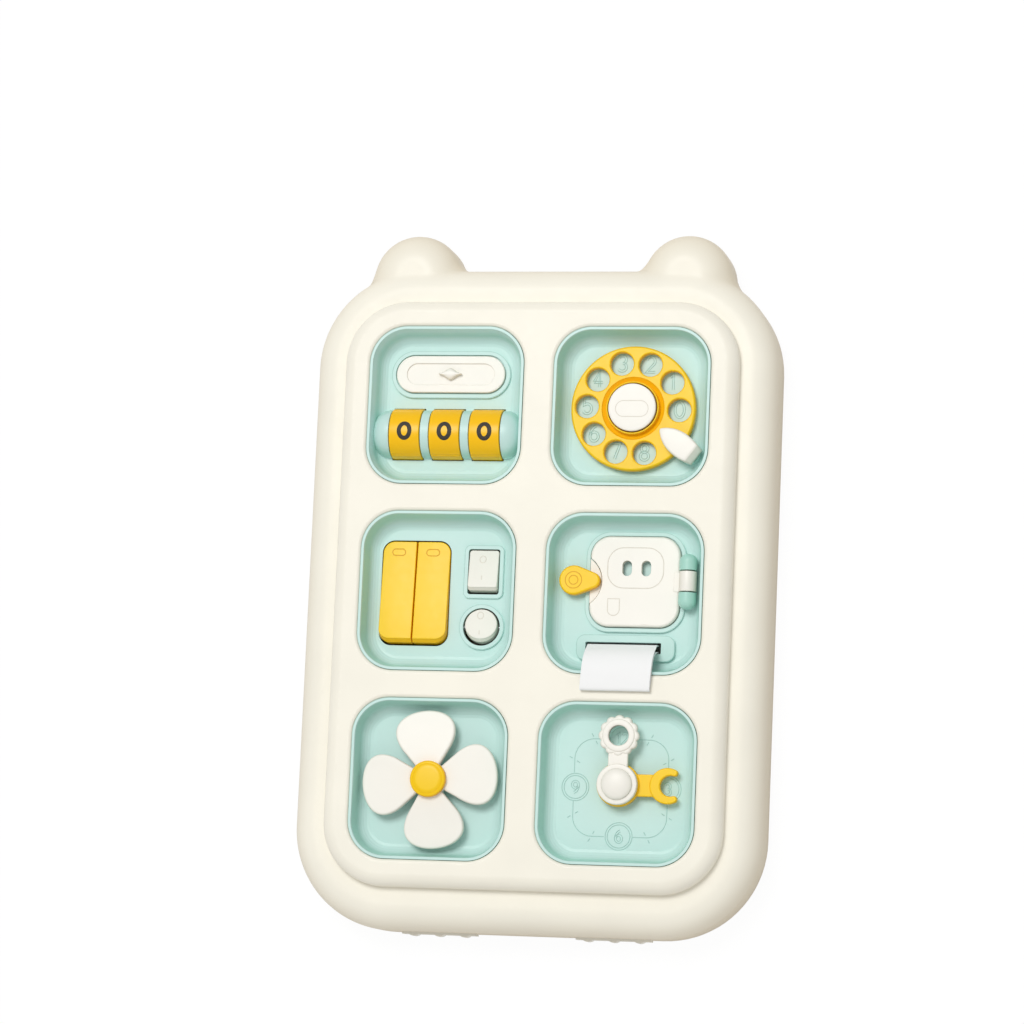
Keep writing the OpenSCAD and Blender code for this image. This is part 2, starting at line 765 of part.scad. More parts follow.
// The button's coil spring: a wire of eight flats carried along a helix.
module button_spring() {
    wire = 0.5;
    sides = 8;
    turns = 5;
    steps = turns * 14;
    r = (stem_r + spring_room_r) / 2;
    z0 = under_z + wire + 0.02;
    z1 = button_crown_z - wire - 0.02;
    rise = atan((z1 - z0) / (turns * 2 * PI * r));
    points = [for (i = [0:steps], k = [0:sides - 1]) let (
        share = i / steps, turn = 360 * turns * share, a = 360 * k / sides,
        out = wire * cos(a), up = wire * sin(a))
        coil_point(share, r, turns, z0, z1)
            + out * [cos(turn), sin(turn), 0]
            + up * [sin(turn) * sin(rise), -cos(turn) * sin(rise), cos(rise)]];
    faces = concat(
        [[for (k = [0:sides - 1]) k]],
        [for (i = [0:steps - 1], k = [0:sides - 1])
            [i * sides + k, (i + 1) * sides + k,
             (i + 1) * sides + (k + 1) % sides, i * sides + (k + 1) % sides]],
        [[for (k = [sides - 1:-1:0]) steps * sides + k]]);
    color(steel) translate(cell(1, 0)) polyhedron(points, faces);
}

module button_clip() {
    color(steel) translate(cell(1, 0) + [0, 0, sleeve_foot_z - 1.4]) tube(stem_r + 2.4, stem_r + 0.02, 1.2);
}

// The finger stop: a pointed arm over the dial on a post outside it. Its outer end slopes down.
module finger_stop() {
    steps = 16;
    side = [for (i = [0:steps]) let (s = i / steps) [stop_l * s, stop_w / 2 * sin(133 * pow(s, 0.72))]];
    back = [for (i = [steps:-1:1]) [side[i][0], -side[i][1]]];
    color(white) translate(cell(1, 0)) rotate(stop_angle) {
        difference() {
            translate([stop_tip, 0, stop_z]) linear_extrude(stop_t) polygon(concat(side, back));
            translate([stop_tip + stop_l, -stop_w, stop_z + stop_t * 0.3]) rotate([0, -50, 0])
                cube([stop_l, 2 * stop_w, stop_l]);
        }
        translate([stop_post, 0, floor_z]) cylinder(r = stop_post_r, h = stop_z - floor_z + 0.5);
    }
}

// ---- Rocker switches, middle left ----

// Two lugs under the floor that hold a pivot pin, on either side of a window.
module pin_lugs(x, y, window, drop) {
    for (side = [-1, 1]) translate([x + side * (window / 2 + 1.5) - 1.5, y - 3.5, floor_z - drop - 3])
        cube([3, 7, drop + 3 - tray_t / 2]);
}

module tray_switch() {
    long_hole = long_l * cos(long_tilt) + 2 * long_rise * sin(long_tilt) + 2 * rocker_gap;
    square_hole = square_l * cos(small_tilt) + 2 * small_rise * sin(small_tilt) + 2 * rocker_gap;
    round_hole = round_r * cos(small_tilt) + small_rise * sin(small_tilt) + rocker_gap;
    square_wide = square_w + 2 * rocker_gap;
    color(mint) translate(cell(0, 1)) difference() {
        union() {
            tray();
            translate([small_x, square_y, floor_z - 1]) linear_extrude(rocker_bezel_rise + 1)
                rounded_rect(square_wide + 2 * bezel_w, square_hole + 2 * bezel_w, 3.5);
            translate([small_x, round_y, floor_z - 1])
                cylinder(r = round_hole + bezel_w, h = rocker_bezel_rise + 1);
            pin_lugs(long_x, 0, long_window_w, long_pivot_drop);
            pin_lugs(small_x, square_y, square_wide, small_pivot_drop);
            pin_lugs(small_x, round_y, 2 * round_hole, small_pivot_drop);
        }
        translate([long_x, 0, under_z - 1]) linear_extrude(tray_t + 4)
            rounded_rect(long_window_w, long_hole, 7);
        translate([small_x, square_y, under_z - 1]) linear_extrude(tray_t + 4)
            rounded_rect(square_wide, square_hole, 1.5);
        translate([small_x, round_y, under_z - 1]) cylinder(r = round_hole, h = tray_t + 4);
        translate([long_x - long_window_w, 0, floor_z - long_pivot_drop]) rotate([0, 90, 0])
            cylinder(r = pin_r + screw_gap, h = 2 * long_window_w);
        for (y = [square_y, round_y])
            translate([small_x - square_w, y, floor_z - small_pivot_drop]) rotate([0, 90, 0])
                cylinder(r = pin_r + screw_gap, h = 2 * square_w);
    }
}

// Tips a rocker about its pivot so that its upper end is pressed in, and gives it a bored hub.
module rocker(x, y, w, drop, tilt) {
    translate(cell(0, 1) + [x, y, floor_z - drop]) rotate([-tilt, 0, 0]) difference() {
        union() {
            children();
            rotate([0, 90, 0]) cylinder(r = 3.2, h = w - 4, center = true);
        }
        rotate([0, 90, 0]) cylinder(r = pin_r + run_gap, h = w + 2, center = true);
    }
}

// The long rockers have round corners on their outer sides only.
module long_rocker(side) {
    color(yellow) rocker(long_x + side * (long_w + 0.4) / 2, 0, long_w, long_pivot_drop, long_tilt)
        intersection() {
            translate([-side * long_w / 2, 0, 0]) soft_slab(2 * long_w, long_l, 6.5, -0.6, long_rise, 1.6);
            translate([-long_w / 2, -long_l, -2]) cube([long_w, 2 * long_l, long_rise + 4]);
        }
}
module rocker_left() { long_rocker(-1); }
module rocker_right() { long_rocker(1); }

module rocker_square() {
    color(white) rocker(small_x, square_y, square_w, small_pivot_drop, small_tilt)
        soft_slab(square_w, square_l, 1.6, -0.6, small_rise, 0.8);
}

module rocker_round() {
    color(white) rocker(small_x, round_y, 2 * round_r, small_pivot_drop, small_tilt)
        translate([0, 0, -0.6]) rotate_extrude()
            polygon([[0, 0], [round_r, 0], [round_r, small_rise], [round_r - 0.5, small_rise + 0.6],
                [0, small_rise + 0.6]]);
}

// A straight pivot pin along X.
module pivot_pin(x, y, span, drop) {
    color(steel) translate(cell(0, 1) + [x, y, floor_z - drop]) rotate([0, 90, 0])
        cylinder(r = pin_r, h = span, center = true);
}
module long_axle() { pivot_pin(long_x, 0, long_window_w + 7, long_pivot_drop); }
module square_pin() { pivot_pin(small_x, square_y, square_w + 8, small_pivot_drop); }
module round_pin() { pivot_pin(small_x, round_y, 2 * round_r + 8, small_pivot_drop); }

// ---- Door, latch and ribbon, middle right ----

// The circle that the latch's tip sweeps.
module latch_circle(r) {
    translate([latch_x, door_y]) circle(r, $fn = 128);
}

module tray_door() {
    knuckle_side = (hinge_l - knuckle_l) / 2 - 0.25;
    color(mint) translate(cell(1, 1)) difference() {
        union() {
            tray();
            // Rim round the door, open where the door's knuckle swings
            translate([0, 0, floor_z - 1]) linear_extrude(rim_rise + 1) difference() {
                translate([door_x, door_y]) rounded_rect(door_w + 2 * door_gap + 2 * bezel_w,
                    door_w + 2 * door_gap + 2 * bezel_w, door_r + door_gap + bezel_w);
                translate([door_x, door_y]) rounded_rect(door_w + 2 * door_gap, door_w + 2 * door_gap,
                    door_r + door_gap);
                translate([door_x, door_y - knuckle_l / 2 - 0.6]) square([door_w, knuckle_l + 1.2]);
            }
            // Hinge knuckles with round ends, on feet
            for (side = [-1, 1]) translate([hinge_x, door_y + side * (knuckle_l / 2 + 0.25), 0])
                mirror([0, side < 0 ? 1 : 0, 0]) {
                    translate([0, 0, hinge_axis_z]) rotate([-90, 0, 0]) rotate_extrude()
                        dome_profile(knuckle_r, 0, knuckle_side, knuckle_r - 0.9);
                    translate([-3.6, 0, floor_z - 1]) cube([7.2, knuckle_side - 2.4, hinge_z + 1]);
                }
            // Floor under the recess behind the door
            translate([door_x, door_y, floor_z - pocket_depth - tray_t])
                linear_extrude(pocket_depth + tray_t - 1)
                    rounded_rect(pocket_w + 3, pocket_w + 3, pocket_r + 1.5);
            // Raised bar round the ribbon's slot
            translate([slot_x + 1.2, slot_y, floor_z - 1]) linear_extrude(slot_bar_rise + 1)
                rounded_rect(bar_w, bar_h, 5);
            // Boss under the latch
            translate([latch_x, door_y, floor_z - 1]) cylinder(r = 6, h = latch_z - floor_z + 0.8);
            // Brackets for the ribbon's roller
            for (side = [-1, 1])
                translate([slot_x + side * (slot_w / 2 + 2) - 1.25, slot_y - 4, roller_z - 4])
                    cube([2.5, 8, under_z + 1 - roller_z + 4]);
        }
        translate([door_x, door_y, floor_z - pocket_depth]) linear_extrude(pocket_depth + 4)
            rounded_rect(pocket_w, pocket_w, pocket_r);
        translate([slot_x, slot_y, under_z - 1]) linear_extrude(board_t) rounded_rect(slot_w, slot_h, 0.7);
        translate([latch_x, door_y, under_z - 1]) cylinder(r = latch_stem_r + run_gap, h = board_t);
        translate([hinge_x, door_y - hinge_l / 2 + 2, hinge_axis_z]) rotate([-90, 0, 0])
            cylinder(r = hinge_pin_r + screw_gap, h = hinge_l - 4);
        translate([slot_x - slot_w / 2 - 5, slot_y, roller_z]) rotate([0, 90, 0])
            cylinder(r = pin_r + screw_gap, h = slot_w + 10);
    }
}

// The door, notched where the latch's tip sweeps, with two peep slots and its own hinge knuckle.
module door() {
    color(white) translate(cell(1, 1)) difference() {
        union() {
            difference() {
                union() {
                    translate([door_x, door_y, door_z]) linear_extrude(door_t - 0.8)
                        rounded_rect(door_w, door_w, door_r);
                    translate([door_x, door_y, door_z]) linear_extrude(door_t)
                        rounded_rect(door_w - 1.2, door_w - 1.2, door_r - 0.6);
                }
                translate([0, 0, door_z - 1]) linear_extrude(door_t + 2) latch_circle(latch_sweep);
            }
            translate([hinge_x - 7, door_y - knuckle_l / 2, door_z + 0.6])
                cube([7, knuckle_l, door_t - 0.3]);
            translate([hinge_x, door_y - knuckle_l / 2, hinge_axis_z]) rotate([-90, 0, 0])
                cylinder(r = knuckle_r, h = knuckle_l);
        }
        for (side = [-1, 1]) translate([door_x + 0.9 + side * 5.35, door_y + 7.3, door_z - 1])
            linear_extrude(door_t + 2) rounded_rect(5.4, 8.6, 2.69);
        translate([door_x + 0.3, door_y + 7.5, door_z + door_t - 0.4]) linear_extrude(1) difference() {
            rounded_rect(31.2, 22.4, 9);
            rounded_rect(30.2, 21.4, 8.5);
        }
        translate([hinge_x, door_y - knuckle_l, hinge_axis_z]) rotate([-90, 0, 0])
            cylinder(r = hinge_pin_r + run_gap, h = 2 * knuckle_l);
    }
}

module hinge_pin() {
    color(steel) translate(cell(1, 1) + [hinge_x, door_y - hinge_l / 2 + 2.2, hinge_axis_z])
        rotate([-90, 0, 0]) cylinder(r = hinge_pin_r, h = hinge_l - 4.4);
}

// The fixed pad that the latch's tip rests over, filling the door's notch.
module strike_plate() {
    color(white) translate(cell(1, 1) + [0, 0, floor_z]) linear_extrude(latch_z - latch_gap - floor_z)
        intersection() {
            translate([door_x, door_y]) rounded_rect(door_w, door_w, door_r);
            latch_circle(latch_sweep - 0.5);
        }
}

// A teardrop latch on its own stem.
module latch() {
    tip = latch_reach - latch_tip_r;
    lean = acos((latch_hub_r - latch_tip_r) / tip);
    function rim(x, r, side) = [x + r * cos(lean), side * r * sin(lean)];
    color(yellow) translate(cell(1, 1) + [latch_x, door_y, 0]) difference() {
        union() {
            for (layer = [[0, latch_t - 0.9, 0], [latch_t - 1, 1, 0.6]])
                translate([0, 0, latch_z + layer[0]]) linear_extrude(layer[1]) {
                    circle(latch_hub_r - layer[2]);
                    translate([tip, 0]) circle(latch_tip_r - layer[2]);
                    polygon([rim(0, latch_hub_r - layer[2], 1), rim(0, latch_hub_r - layer[2], -1),
                        rim(tip, latch_tip_r - layer[2], -1), rim(tip, latch_tip_r - layer[2], 1)]);
                }
            translate([0, 0, under_z - 0.4]) cylinder(r = latch_stem_r, h = latch_z - under_z + 1);
        }
        translate([0, 0, under_z - 1]) cylinder(r = tray_screw_r + screw_gap, h = 8);
    }
}

module latch_screw() {
    color(steel) translate(cell(1, 1) + [latch_x, door_y, under_z - 0.45])
        screw(tray_screw_r, 7, 4.4, 1.4);
}

// Heights of the ribbon's own points are worked out from the slot, the tray's lower rim and the roller.
rim_y = -tray_h / 2;
ribbon_out = roller_r + 0.5 + ribbon_t;
ribbon_outer = concat(
    [for (a = [0:-20:-180]) [slot_y + ribbon_out * cos(a), roller_z + ribbon_out * sin(a)]],
    [[slot_y - slot_h / 2 + 0.45, floor_z - 4], [slot_y - slot_h / 2 + 0.4, floor_z + 2],
     [slot_y - slot_h / 2 + 0.1, floor_z + 4.5], [slot_y - slot_h / 2 - 0.9, board_t - 6],
     [slot_y - 5.2, board_t - 3.6], [slot_y - 7.4, board_t - 1.5], [rim_y + 5.2, board_t - 0.1],
     [rim_y + 1, board_t + 0.5], [rim_y - 3.4, board_t + 0.5], [rim_y - 7, board_t + 0.6],
     [rim_y - 8.6, board_t + 0.9], [rim_y - 9.4, board_t + 1.6], [rim_y - 9.6, board_t + 2.5],
     [rim_y - 9, board_t + 3.4], [rim_y - 7.4, board_t + 3.9], [rim_y - 3, board_t + 4.1],
     [rim_y + 2, board_t + 3.9], [rim_y + 6.4, board_t + 3], [rim_y + 10.2, board_t + 1],
     [rim_y + 13.2, board_t - 2], [rim_y + 15.6, board_t - 6], [slot_y + slot_h / 2 - 1.6, floor_z + 5],
     [slot_y + slot_h / 2 - 1.2, floor_z + 2], [slot_y + slot_h / 2 - 0.9, floor_z - 4]]);

// The inward normal at a point of a closed outline that runs clockwise.
function inward(points, i) = let (
    n = len(points),
    along = points[(i + 1) % n] - points[(i + n - 1) % n])
    [along[1], -along[0]] / norm(along);

module ribbon() {
    n = len(ribbon_outer);
    inner = [for (i = [0:n - 1]) ribbon_outer[i] + ribbon_t * inward(ribbon_outer, i)];
    color(white) translate(cell(1, 1) + [slot_x - ribbon_w / 2, 0, 0]) rotate([90, 0, 90])
        linear_extrude(ribbon_w) polygon(concat(ribbon_outer, inner),
            [[for (i = [0:n - 1]) i], [for (i = [n - 1:-1:0]) n + i]]);
}

module ribbon_roller() {
    color(white) translate(cell(1, 1) + [slot_x - ribbon_w / 2, slot_y, roller_z]) rotate([0, 90, 0])
        tube(roller_r, pin_r + run_gap, ribbon_w);
}

module roller_axle() {
    color(steel) translate(cell(1, 1) + [slot_x - slot_w / 2 - 3.2, slot_y, roller_z]) rotate([0, 90, 0])
        cylinder(r = pin_r, h = slot_w + 6.4);
}

// ---- Fan, bottom left ----

module tray_fan() {
    color(mint) translate(cell(0, 2)) difference() {
        union() {
            tray();
            translate([0, 0, floor_z - 1]) cylinder(r1 = 7, r2 = 5, h = petal_z - floor_z + 0.8);
        }
        translate([0, 0, under_z - 1]) cylinder(r = fan_axle_r + screw_gap, h = board_t);
    }
}

// An egg-shaped petal, fuller towards its tip, on a wedge that narrows towards the hub.
module petal() {
    half = (fan_r - petal_foot) / 2;
    middle = (fan_r + petal_foot) / 2;
    shoulder = 120;
    root = [4, 4.2];
    linear_extrude(petal_t)
        polygon(concat([for (a = [-shoulder:8:shoulder])
            [middle + half * cos(a), petal_w * sin(a) * (1 + 0.28 * cos(a))]], [root, [root[0], -root[1]]]));
}

module fan_blades() {
    color(white) translate(cell(0, 2) + [0, 0, petal_z]) rotate(fan_turn) difference() {
        union() {
            for (turn = [0:90:270]) rotate(turn)
                translate([petal_foot, 0, petal_lift]) rotate([0, petal_droop, 0])
                    translate([-petal_foot, 0, 0]) petal();
            cylinder(r = fan_hub_r, h = petal_t + 0.6);
            cylinder(r = fan_hub_r - 2.4, h = petal_t + spigot_h);
        }
        translate([0, 0, -1]) cylinder(r = fan_axle_r + run_gap, h = petal_t + 5);
    }
}

// A cup-shaped cap pushed over the hub's spigot.
module fan_cap() {
    color(yellow) translate(cell(0, 2) + [0, 0, petal_z + petal_t + 0.6]) rotate_extrude()
        polygon([[fan_cap_r - 2.35, 0], [fan_cap_r, 0], [fan_cap_r, 2.6], [fan_cap_r - 0.4, 3.4],
            [fan_cap_r - 1.4, 3.9], [0, 4.1], [0, 2.4], [fan_cap_r - 2.35, 2.4]]);
}

// The fan's pin, with a head under the floor and a smaller one over the hub's spigot.
module fan_axle() {
    color(steel) translate(cell(0, 2)) {
        translate([0, 0, under_z - 1.5]) cylinder(r = 5, h = 1.5);
        translate([0, 0, under_z - 1])
            cylinder(r = fan_axle_r, h = petal_z + petal_t + spigot_h - under_z + 1.3);
        translate([0, 0, petal_z + petal_t + spigot_h + 0.1]) cylinder(r = 4.2, h = 0.5);
    }
}

// ---- Clock with two spanner hands, bottom right ----

module tray_clock() {
    color(mint) translate(cell(1, 2)) difference() {
        union() {
            tray();
            translate([0, 0, floor_z - 1]) cylinder(r = 7, h = open_z - floor_z + 0.7);
        }
        translate([0, 0, under_z - 1]) cylinder(r = post_r + screw_gap, h = board_t);
    }
}

module clock_post() {
    color(steel) translate(cell(1, 2)) {
        translate([0, 0, under_z - 1.5]) cylinder(r = 5.5, h = 1.5);
        translate([0, 0, under_z - 1]) cylinder(r = post_r, h = ring_z + hand_t + 1.6 - under_z + 1);
    }
}

// The lower hand, an open-jawed spanner pointing to three. Its jaw is a crescent above a thinner arm.
module hand_open() {
    color(yellow) translate(cell(1, 2) + [0, 0, open_z]) difference() {
        union() {
            cylinder(r = hub_r, h = hand_t);
            translate([0, -6.1, 0.2]) cube([jaw_reach - jaw_hole_r, 12.2, hand_t - 1.2]);
            translate([jaw_reach, 0, 0]) cylinder(r = jaw_r, h = hand_t);
        }
        translate([jaw_reach + jaw_shift, 0, -1]) cylinder(r = jaw_hole_r, h = hand_t + 2);
        translate([jaw_reach + jaw_cut, -jaw_r, -1]) cube([jaw_r, 2 * jaw_r, hand_t + 2]);
        translate([0, 0, -1]) cylinder(r = post_r + run_gap, h = hand_t + 2);
    }
}

// The upper hand, a ring spanner with a scalloped edge, pointing to twelve.
module hand_ring() {
    scallop_r = ring_r * sin(180 / scallops) * 1.2;
    lip = 0.9;
    color(white) translate(cell(1, 2) + [0, 0, ring_z]) difference() {
        union() {
            cylinder(r = hub_r, h = hand_t);
            translate([-5.5, 0, 0.2]) cube([11, ring_reach - ring_hole_r - 1, hand_t - 1.4]);
            translate([0, ring_reach, 0]) {
                linear_extrude(hand_t - lip) {
                    circle(ring_r - scallop_r);
                    for (i = [0:scallops - 1]) rotate(90 + 360 * i / scallops)
                        translate([ring_r - scallop_r, 0]) circle(scallop_r);
                }
                translate([0, 0, lip]) cylinder(r = ring_r - 0.8 * scallop_r, h = hand_t - lip);
            }
        }
        translate([0, ring_reach, -1]) cylinder(r = ring_hole_r, h = hand_t + 2);
        translate([0, 0, -1]) cylinder(r = post_r + run_gap, h = hand_t + 2);
    }
}

// The domed cap on the post's end.
module clock_cap() {
    dome = 2.4;
    dome_r = (pow(clock_cap_r - 0.3, 2) + pow(dome, 2)) / (2 * dome);
    color(white) translate(cell(1, 2) + [0, 0, ring_z + hand_t + 0.2]) difference() {
        union() {
            cylinder(r = clock_cap_r, h = 0.6);
            intersection() {
                translate([0, 0, 0.6 + dome - dome_r]) sphere(dome_r);
                translate([0, 0, 0.5]) cylinder(r = clock_cap_r, h = dome + 1);
            }
        }
        translate([0, 0, -1]) cylinder(r = post_r + 0.02, h = 2.5);
    }
}

front_shell();
back_shell();
foot_pads();
case_screws();
tray_screws();
tray_lock();
lock_plate();
turn_knob();
knob_clip();
wheel_axle();
number_wheel_1();
number_wheel_2();
number_wheel_3();
tray_dial();
dial_ring();
dial_collar();
dial_washer();
dial_button();
button_spring();
button_clip();
finger_stop();
tray_switch();
rocker_left();
rocker_right();
long_axle();
rocker_square();
square_pin();
rocker_round();
round_pin();
tray_door();
door();
hinge_pin();
strike_plate();
latch();
latch_screw();
ribbon();
ribbon_roller();
roller_axle();
tray_fan();
fan_blades();
fan_cap();
fan_axle();
tray_clock();
clock_post();
hand_open();
hand_ring();
clock_cap();
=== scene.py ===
import math

import bmesh
import bpy
import numpy as np
from mathutils import Matrix, Vector
from mathutils.geometry import tessellate_polygon


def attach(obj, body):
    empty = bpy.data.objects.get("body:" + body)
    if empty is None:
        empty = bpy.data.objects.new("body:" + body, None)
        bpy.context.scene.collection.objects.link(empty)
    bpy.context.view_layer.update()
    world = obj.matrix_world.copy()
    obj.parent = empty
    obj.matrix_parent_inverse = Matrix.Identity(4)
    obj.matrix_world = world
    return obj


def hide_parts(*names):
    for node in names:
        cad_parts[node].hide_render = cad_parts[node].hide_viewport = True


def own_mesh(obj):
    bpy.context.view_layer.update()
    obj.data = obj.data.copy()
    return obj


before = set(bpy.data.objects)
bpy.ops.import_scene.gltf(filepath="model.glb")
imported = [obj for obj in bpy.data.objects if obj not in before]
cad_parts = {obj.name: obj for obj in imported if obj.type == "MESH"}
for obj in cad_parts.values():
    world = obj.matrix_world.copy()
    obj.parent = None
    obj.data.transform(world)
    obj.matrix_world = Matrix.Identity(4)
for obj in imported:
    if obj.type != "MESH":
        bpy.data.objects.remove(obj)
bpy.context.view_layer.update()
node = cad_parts

# ---- Camera, studio and floor ----
# A long lens looks down on the board from its lower right. A large soft box stands at the upper left, with
# a weaker warm one below, and the floor shows white to the camera but keeps the board's soft shadow.

camera = bpy.data.objects.new("camera", bpy.data.cameras.new("camera"))
camera.data.lens = 140.625
camera.data.sensor_width = 36.0
camera.data.clip_end = 20.0
camera.location = (0.45421, -0.28444, 2.17883)
camera.rotation_euler = (math.radians(8.8782), math.radians(11.9406), math.radians(2.5393))
bpy.context.scene.collection.objects.link(camera)
bpy.context.scene.camera = camera
bpy.context.scene.view_settings.view_transform = "Standard"


def soft_box(name, place, watts, tint):
    """A square area lamp at place that faces the origin."""
    lamp = bpy.data.lights.new(name, "AREA")
    lamp.shape, lamp.size, lamp.energy, lamp.color = "SQUARE", 1.6, watts, tint
    holder = bpy.data.objects.new(name, lamp)
    holder.location = place
    holder.rotation_euler = (-Vector(place)).to_track_quat("-Z", "Y").to_euler()
    bpy.context.scene.collection.objects.link(holder)


def set_inputs(made, values):
    """Sets a shader node's inputs. An underscore stands for a blank in an input's name."""
    for name, value in values.items():
        made.inputs[name.replace("_", " ")].default_value = value
    return made


def add_node(tree, kind, **values):
    """A new shader node with values on its inputs."""
    return set_inputs(tree.nodes.new("ShaderNode" + kind), values)


def join(tree, *links):
    """Links shader nodes. Each link is (node, its output, node, its input)."""
    for source, output, target, entry in links:
        tree.links.new(source.outputs[output], target.inputs[entry])


soft_box("key_light", (-0.65, 1.42, 3.9), 86.0, (1.0, 1.0, 0.99))
soft_box("fill_light", (0.6, -2.1, 1.5), 6.5, (1.0, 0.95, 0.86))

world = bpy.data.worlds.new("studio")
bpy.context.scene.world = world
world.use_nodes = True
tree = world.node_tree
tree.nodes.clear()
ambient = add_node(tree, "Background", Color=(1.0, 0.995, 0.98, 1), Strength=0.5)
paper = add_node(tree, "Background", Color=(1, 1, 1, 1), Strength=1.0)
rays = add_node(tree, "LightPath")
choose = add_node(tree, "MixShader")
out = add_node(tree, "OutputWorld")
join(tree, (rays, "Is Camera Ray", choose, "Fac"), (ambient, 0, choose, 1), (paper, 0, choose, 2),
     (choose, 0, out, "Surface"))

floor_mesh = bpy.data.meshes.new("floor")
floor_mesh.from_pydata([(-4, -4, 0), (4, -4, 0), (4, 4, 0), (-4, 4, 0)], [], [(0, 1, 2, 3)])
floor = bpy.data.objects.new("floor", floor_mesh)
bpy.context.scene.collection.objects.link(floor)
floor_paint = bpy.data.materials.new("pale_floor")
floor_paint.use_nodes = True
tree = floor_paint.node_tree
tree.nodes.clear()
lit = add_node(tree, "BsdfDiffuse", Color=(0.86, 0.86, 0.86, 1))
shown = add_node(tree, "Emission", Color=(1, 1, 1, 1), Strength=1.02)
rays = add_node(tree, "LightPath")
share = add_node(tree, "Math")
share.operation = "MULTIPLY"
share.inputs[1].default_value = 0.93
choose = add_node(tree, "MixShader")
out = add_node(tree, "OutputMaterial")
join(tree, (rays, "Is Camera Ray", share, 0), (share, 0, choose, "Fac"), (lit, 0, choose, 1),
     (shown, 0, choose, 2), (choose, 0, out, "Surface"))
floor.data.materials.append(floor_paint)


# ---- Case front: shoulder, ears and skirt ----
# The front shell is one injection moulding in cream ABS with a fine spark-eroded skin. Its
# shoulder rolls over into the skirt, and the two ears grow out of the roll. It meets the back
# shell at a parting line 8 mm up.

def new_paint(name, **values):
    """A new material, its node tree, and its principled shader with values on its inputs."""
    paint = bpy.data.materials.new(name)
    paint.use_nodes = True
    return paint, paint.node_tree, set_inputs(paint.node_tree.nodes["Principled BSDF"], values)


def moulded_plastic(name, colour, rough=0.42, mottle=0.02, grain=0.035, deep=None, bands=None):
    """Moulded plastic. Colour drifts by a few percent with a broad noise, roughness by a finer one, and
    a very fine noise lifts the skin like a spark-eroded mould does. Where deep is given, the colour darkens
    towards it as painted shade: by (height in mm, share) bands where they are given, and by the piece's own
    steepness attribute elsewhere."""
    paint, t, skin = new_paint(name, IOR=1.5, Specular_IOR_Level=0.38)
    place = add_node(t, "TexCoord")
    broad = add_node(t, "TexNoise", Scale=28.0, Detail=3.0)
    fine = add_node(t, "TexNoise", Scale=220.0, Detail=2.0)
    eroded = add_node(t, "TexNoise", Scale=1500.0, Detail=2.0)
    tones = add_node(t, "ValToRGB")
    for stop, at, change in zip(tones.color_ramp.elements, (0.3, 0.7), (-mottle, mottle)):
        stop.position, stop.color = at, [min(1.0, c * (1 + change)) for c in colour] + [1]
    sheen = add_node(t, "MapRange", To_Min=rough - 0.05, To_Max=rough + 0.06)
    lift = add_node(t, "Bump", Strength=grain, Distance=0.0004)
    for texture in (broad, fine, eroded):
        join(t, (place, "Object", texture, "Vector"))
    join(t, (broad, "Fac", tones, "Fac"))
    if bands:
        low, high = bands[0][0], bands[-1][0]
        axes = add_node(t, "SeparateXYZ")
        height = add_node(t, "MapRange", From_Min=low / 1000, From_Max=high / 1000)
        share = add_node(t, "ValToRGB")
        stops = share.color_ramp.elements
        for z, _ in bands[1:-1]:
            stops.new((z - low) / (high - low))
        for stop, (_, amount) in zip(stops, bands):
            stop.color = (amount, amount, amount, 1)
        join(t, (place, "Object", axes, 0), (axes, "Z", height, "Value"), (height, "Result", share, "Fac"))
        steep = share.outputs["Color"]
    else:
        own = add_node(t, "Attribute")
        own.attribute_name = "steepness"
        steep = own.outputs["Fac"]
    # Parts that are steep or low mix towards deep here, as painted shade.
    painted_shade_mix = add_node(t, "Mix")
    painted_shade_mix.data_type = "RGBA"
    painted_shade_mix.inputs[7].default_value = [*(deep or colour), 1]
    t.links.new(steep, painted_shade_mix.inputs[0])
    join(t, (tones, "Color", painted_shade_mix, 6))
    t.links.new(painted_shade_mix.outputs[2] if deep else tones.outputs["Color"], skin.inputs["Base Color"])
    join(t, (fine, "Fac", sheen, "Value"), (sheen, "Result", skin, "Roughness"),
         (eroded, "Fac", lift, "Height"), (lift, "Normal", skin, "Normal"))
    return paint


def as_linear(red, green, blue):
    """The linear colour of an 8-bit screen colour."""
    return [((c / 255 + 0.055) / 1.055) ** 2.4 if c > 10 else c / 3294.6 for c in (red, green, blue)]


# The cream is darkened as painted shade in full up to 22 mm, fading out by 35 mm: on the skirt and the back
# shell.
cream = moulded_plastic("cream_abs", as_linear(246, 242, 229), 0.40, deep=as_linear(231, 220, 198),
                        bands=((4, 1), (22, 1), (35, 0)))
# The darker second mint is painted shade. The trays' walls get it in full from 38.5 to 43.8 mm up, fading
# out towards the floor at 33.4 and the rim's top at 44.8.
MINT, MINT_PAINTED_SHADE = as_linear(199, 230, 225), as_linear(172, 219, 206)
mint = moulded_plastic("mint_abs", MINT, 0.36, deep=MINT_PAINTED_SHADE,
                       bands=((33.4, 0), (38.5, 1), (43.8, 1), (44.8, 0)))
# These three darken on steep sides towards their second colour, as painted shade.
white = moulded_plastic("warm_white_abs", as_linear(247, 244, 236), 0.38, deep=as_linear(220, 213, 199))
yellow = moulded_plastic("yellow_abs", as_linear(251, 207, 12), 0.38, deep=as_linear(246, 170, 0))
# The collar's yellow made darker and more orange, as painted shade in its groove.
groove_painted_shade_yellow = moulded_plastic("yellow_abs_groove_painted_shade", as_linear(252, 192, 2), 0.38, deep=as_linear(244, 164, 0))


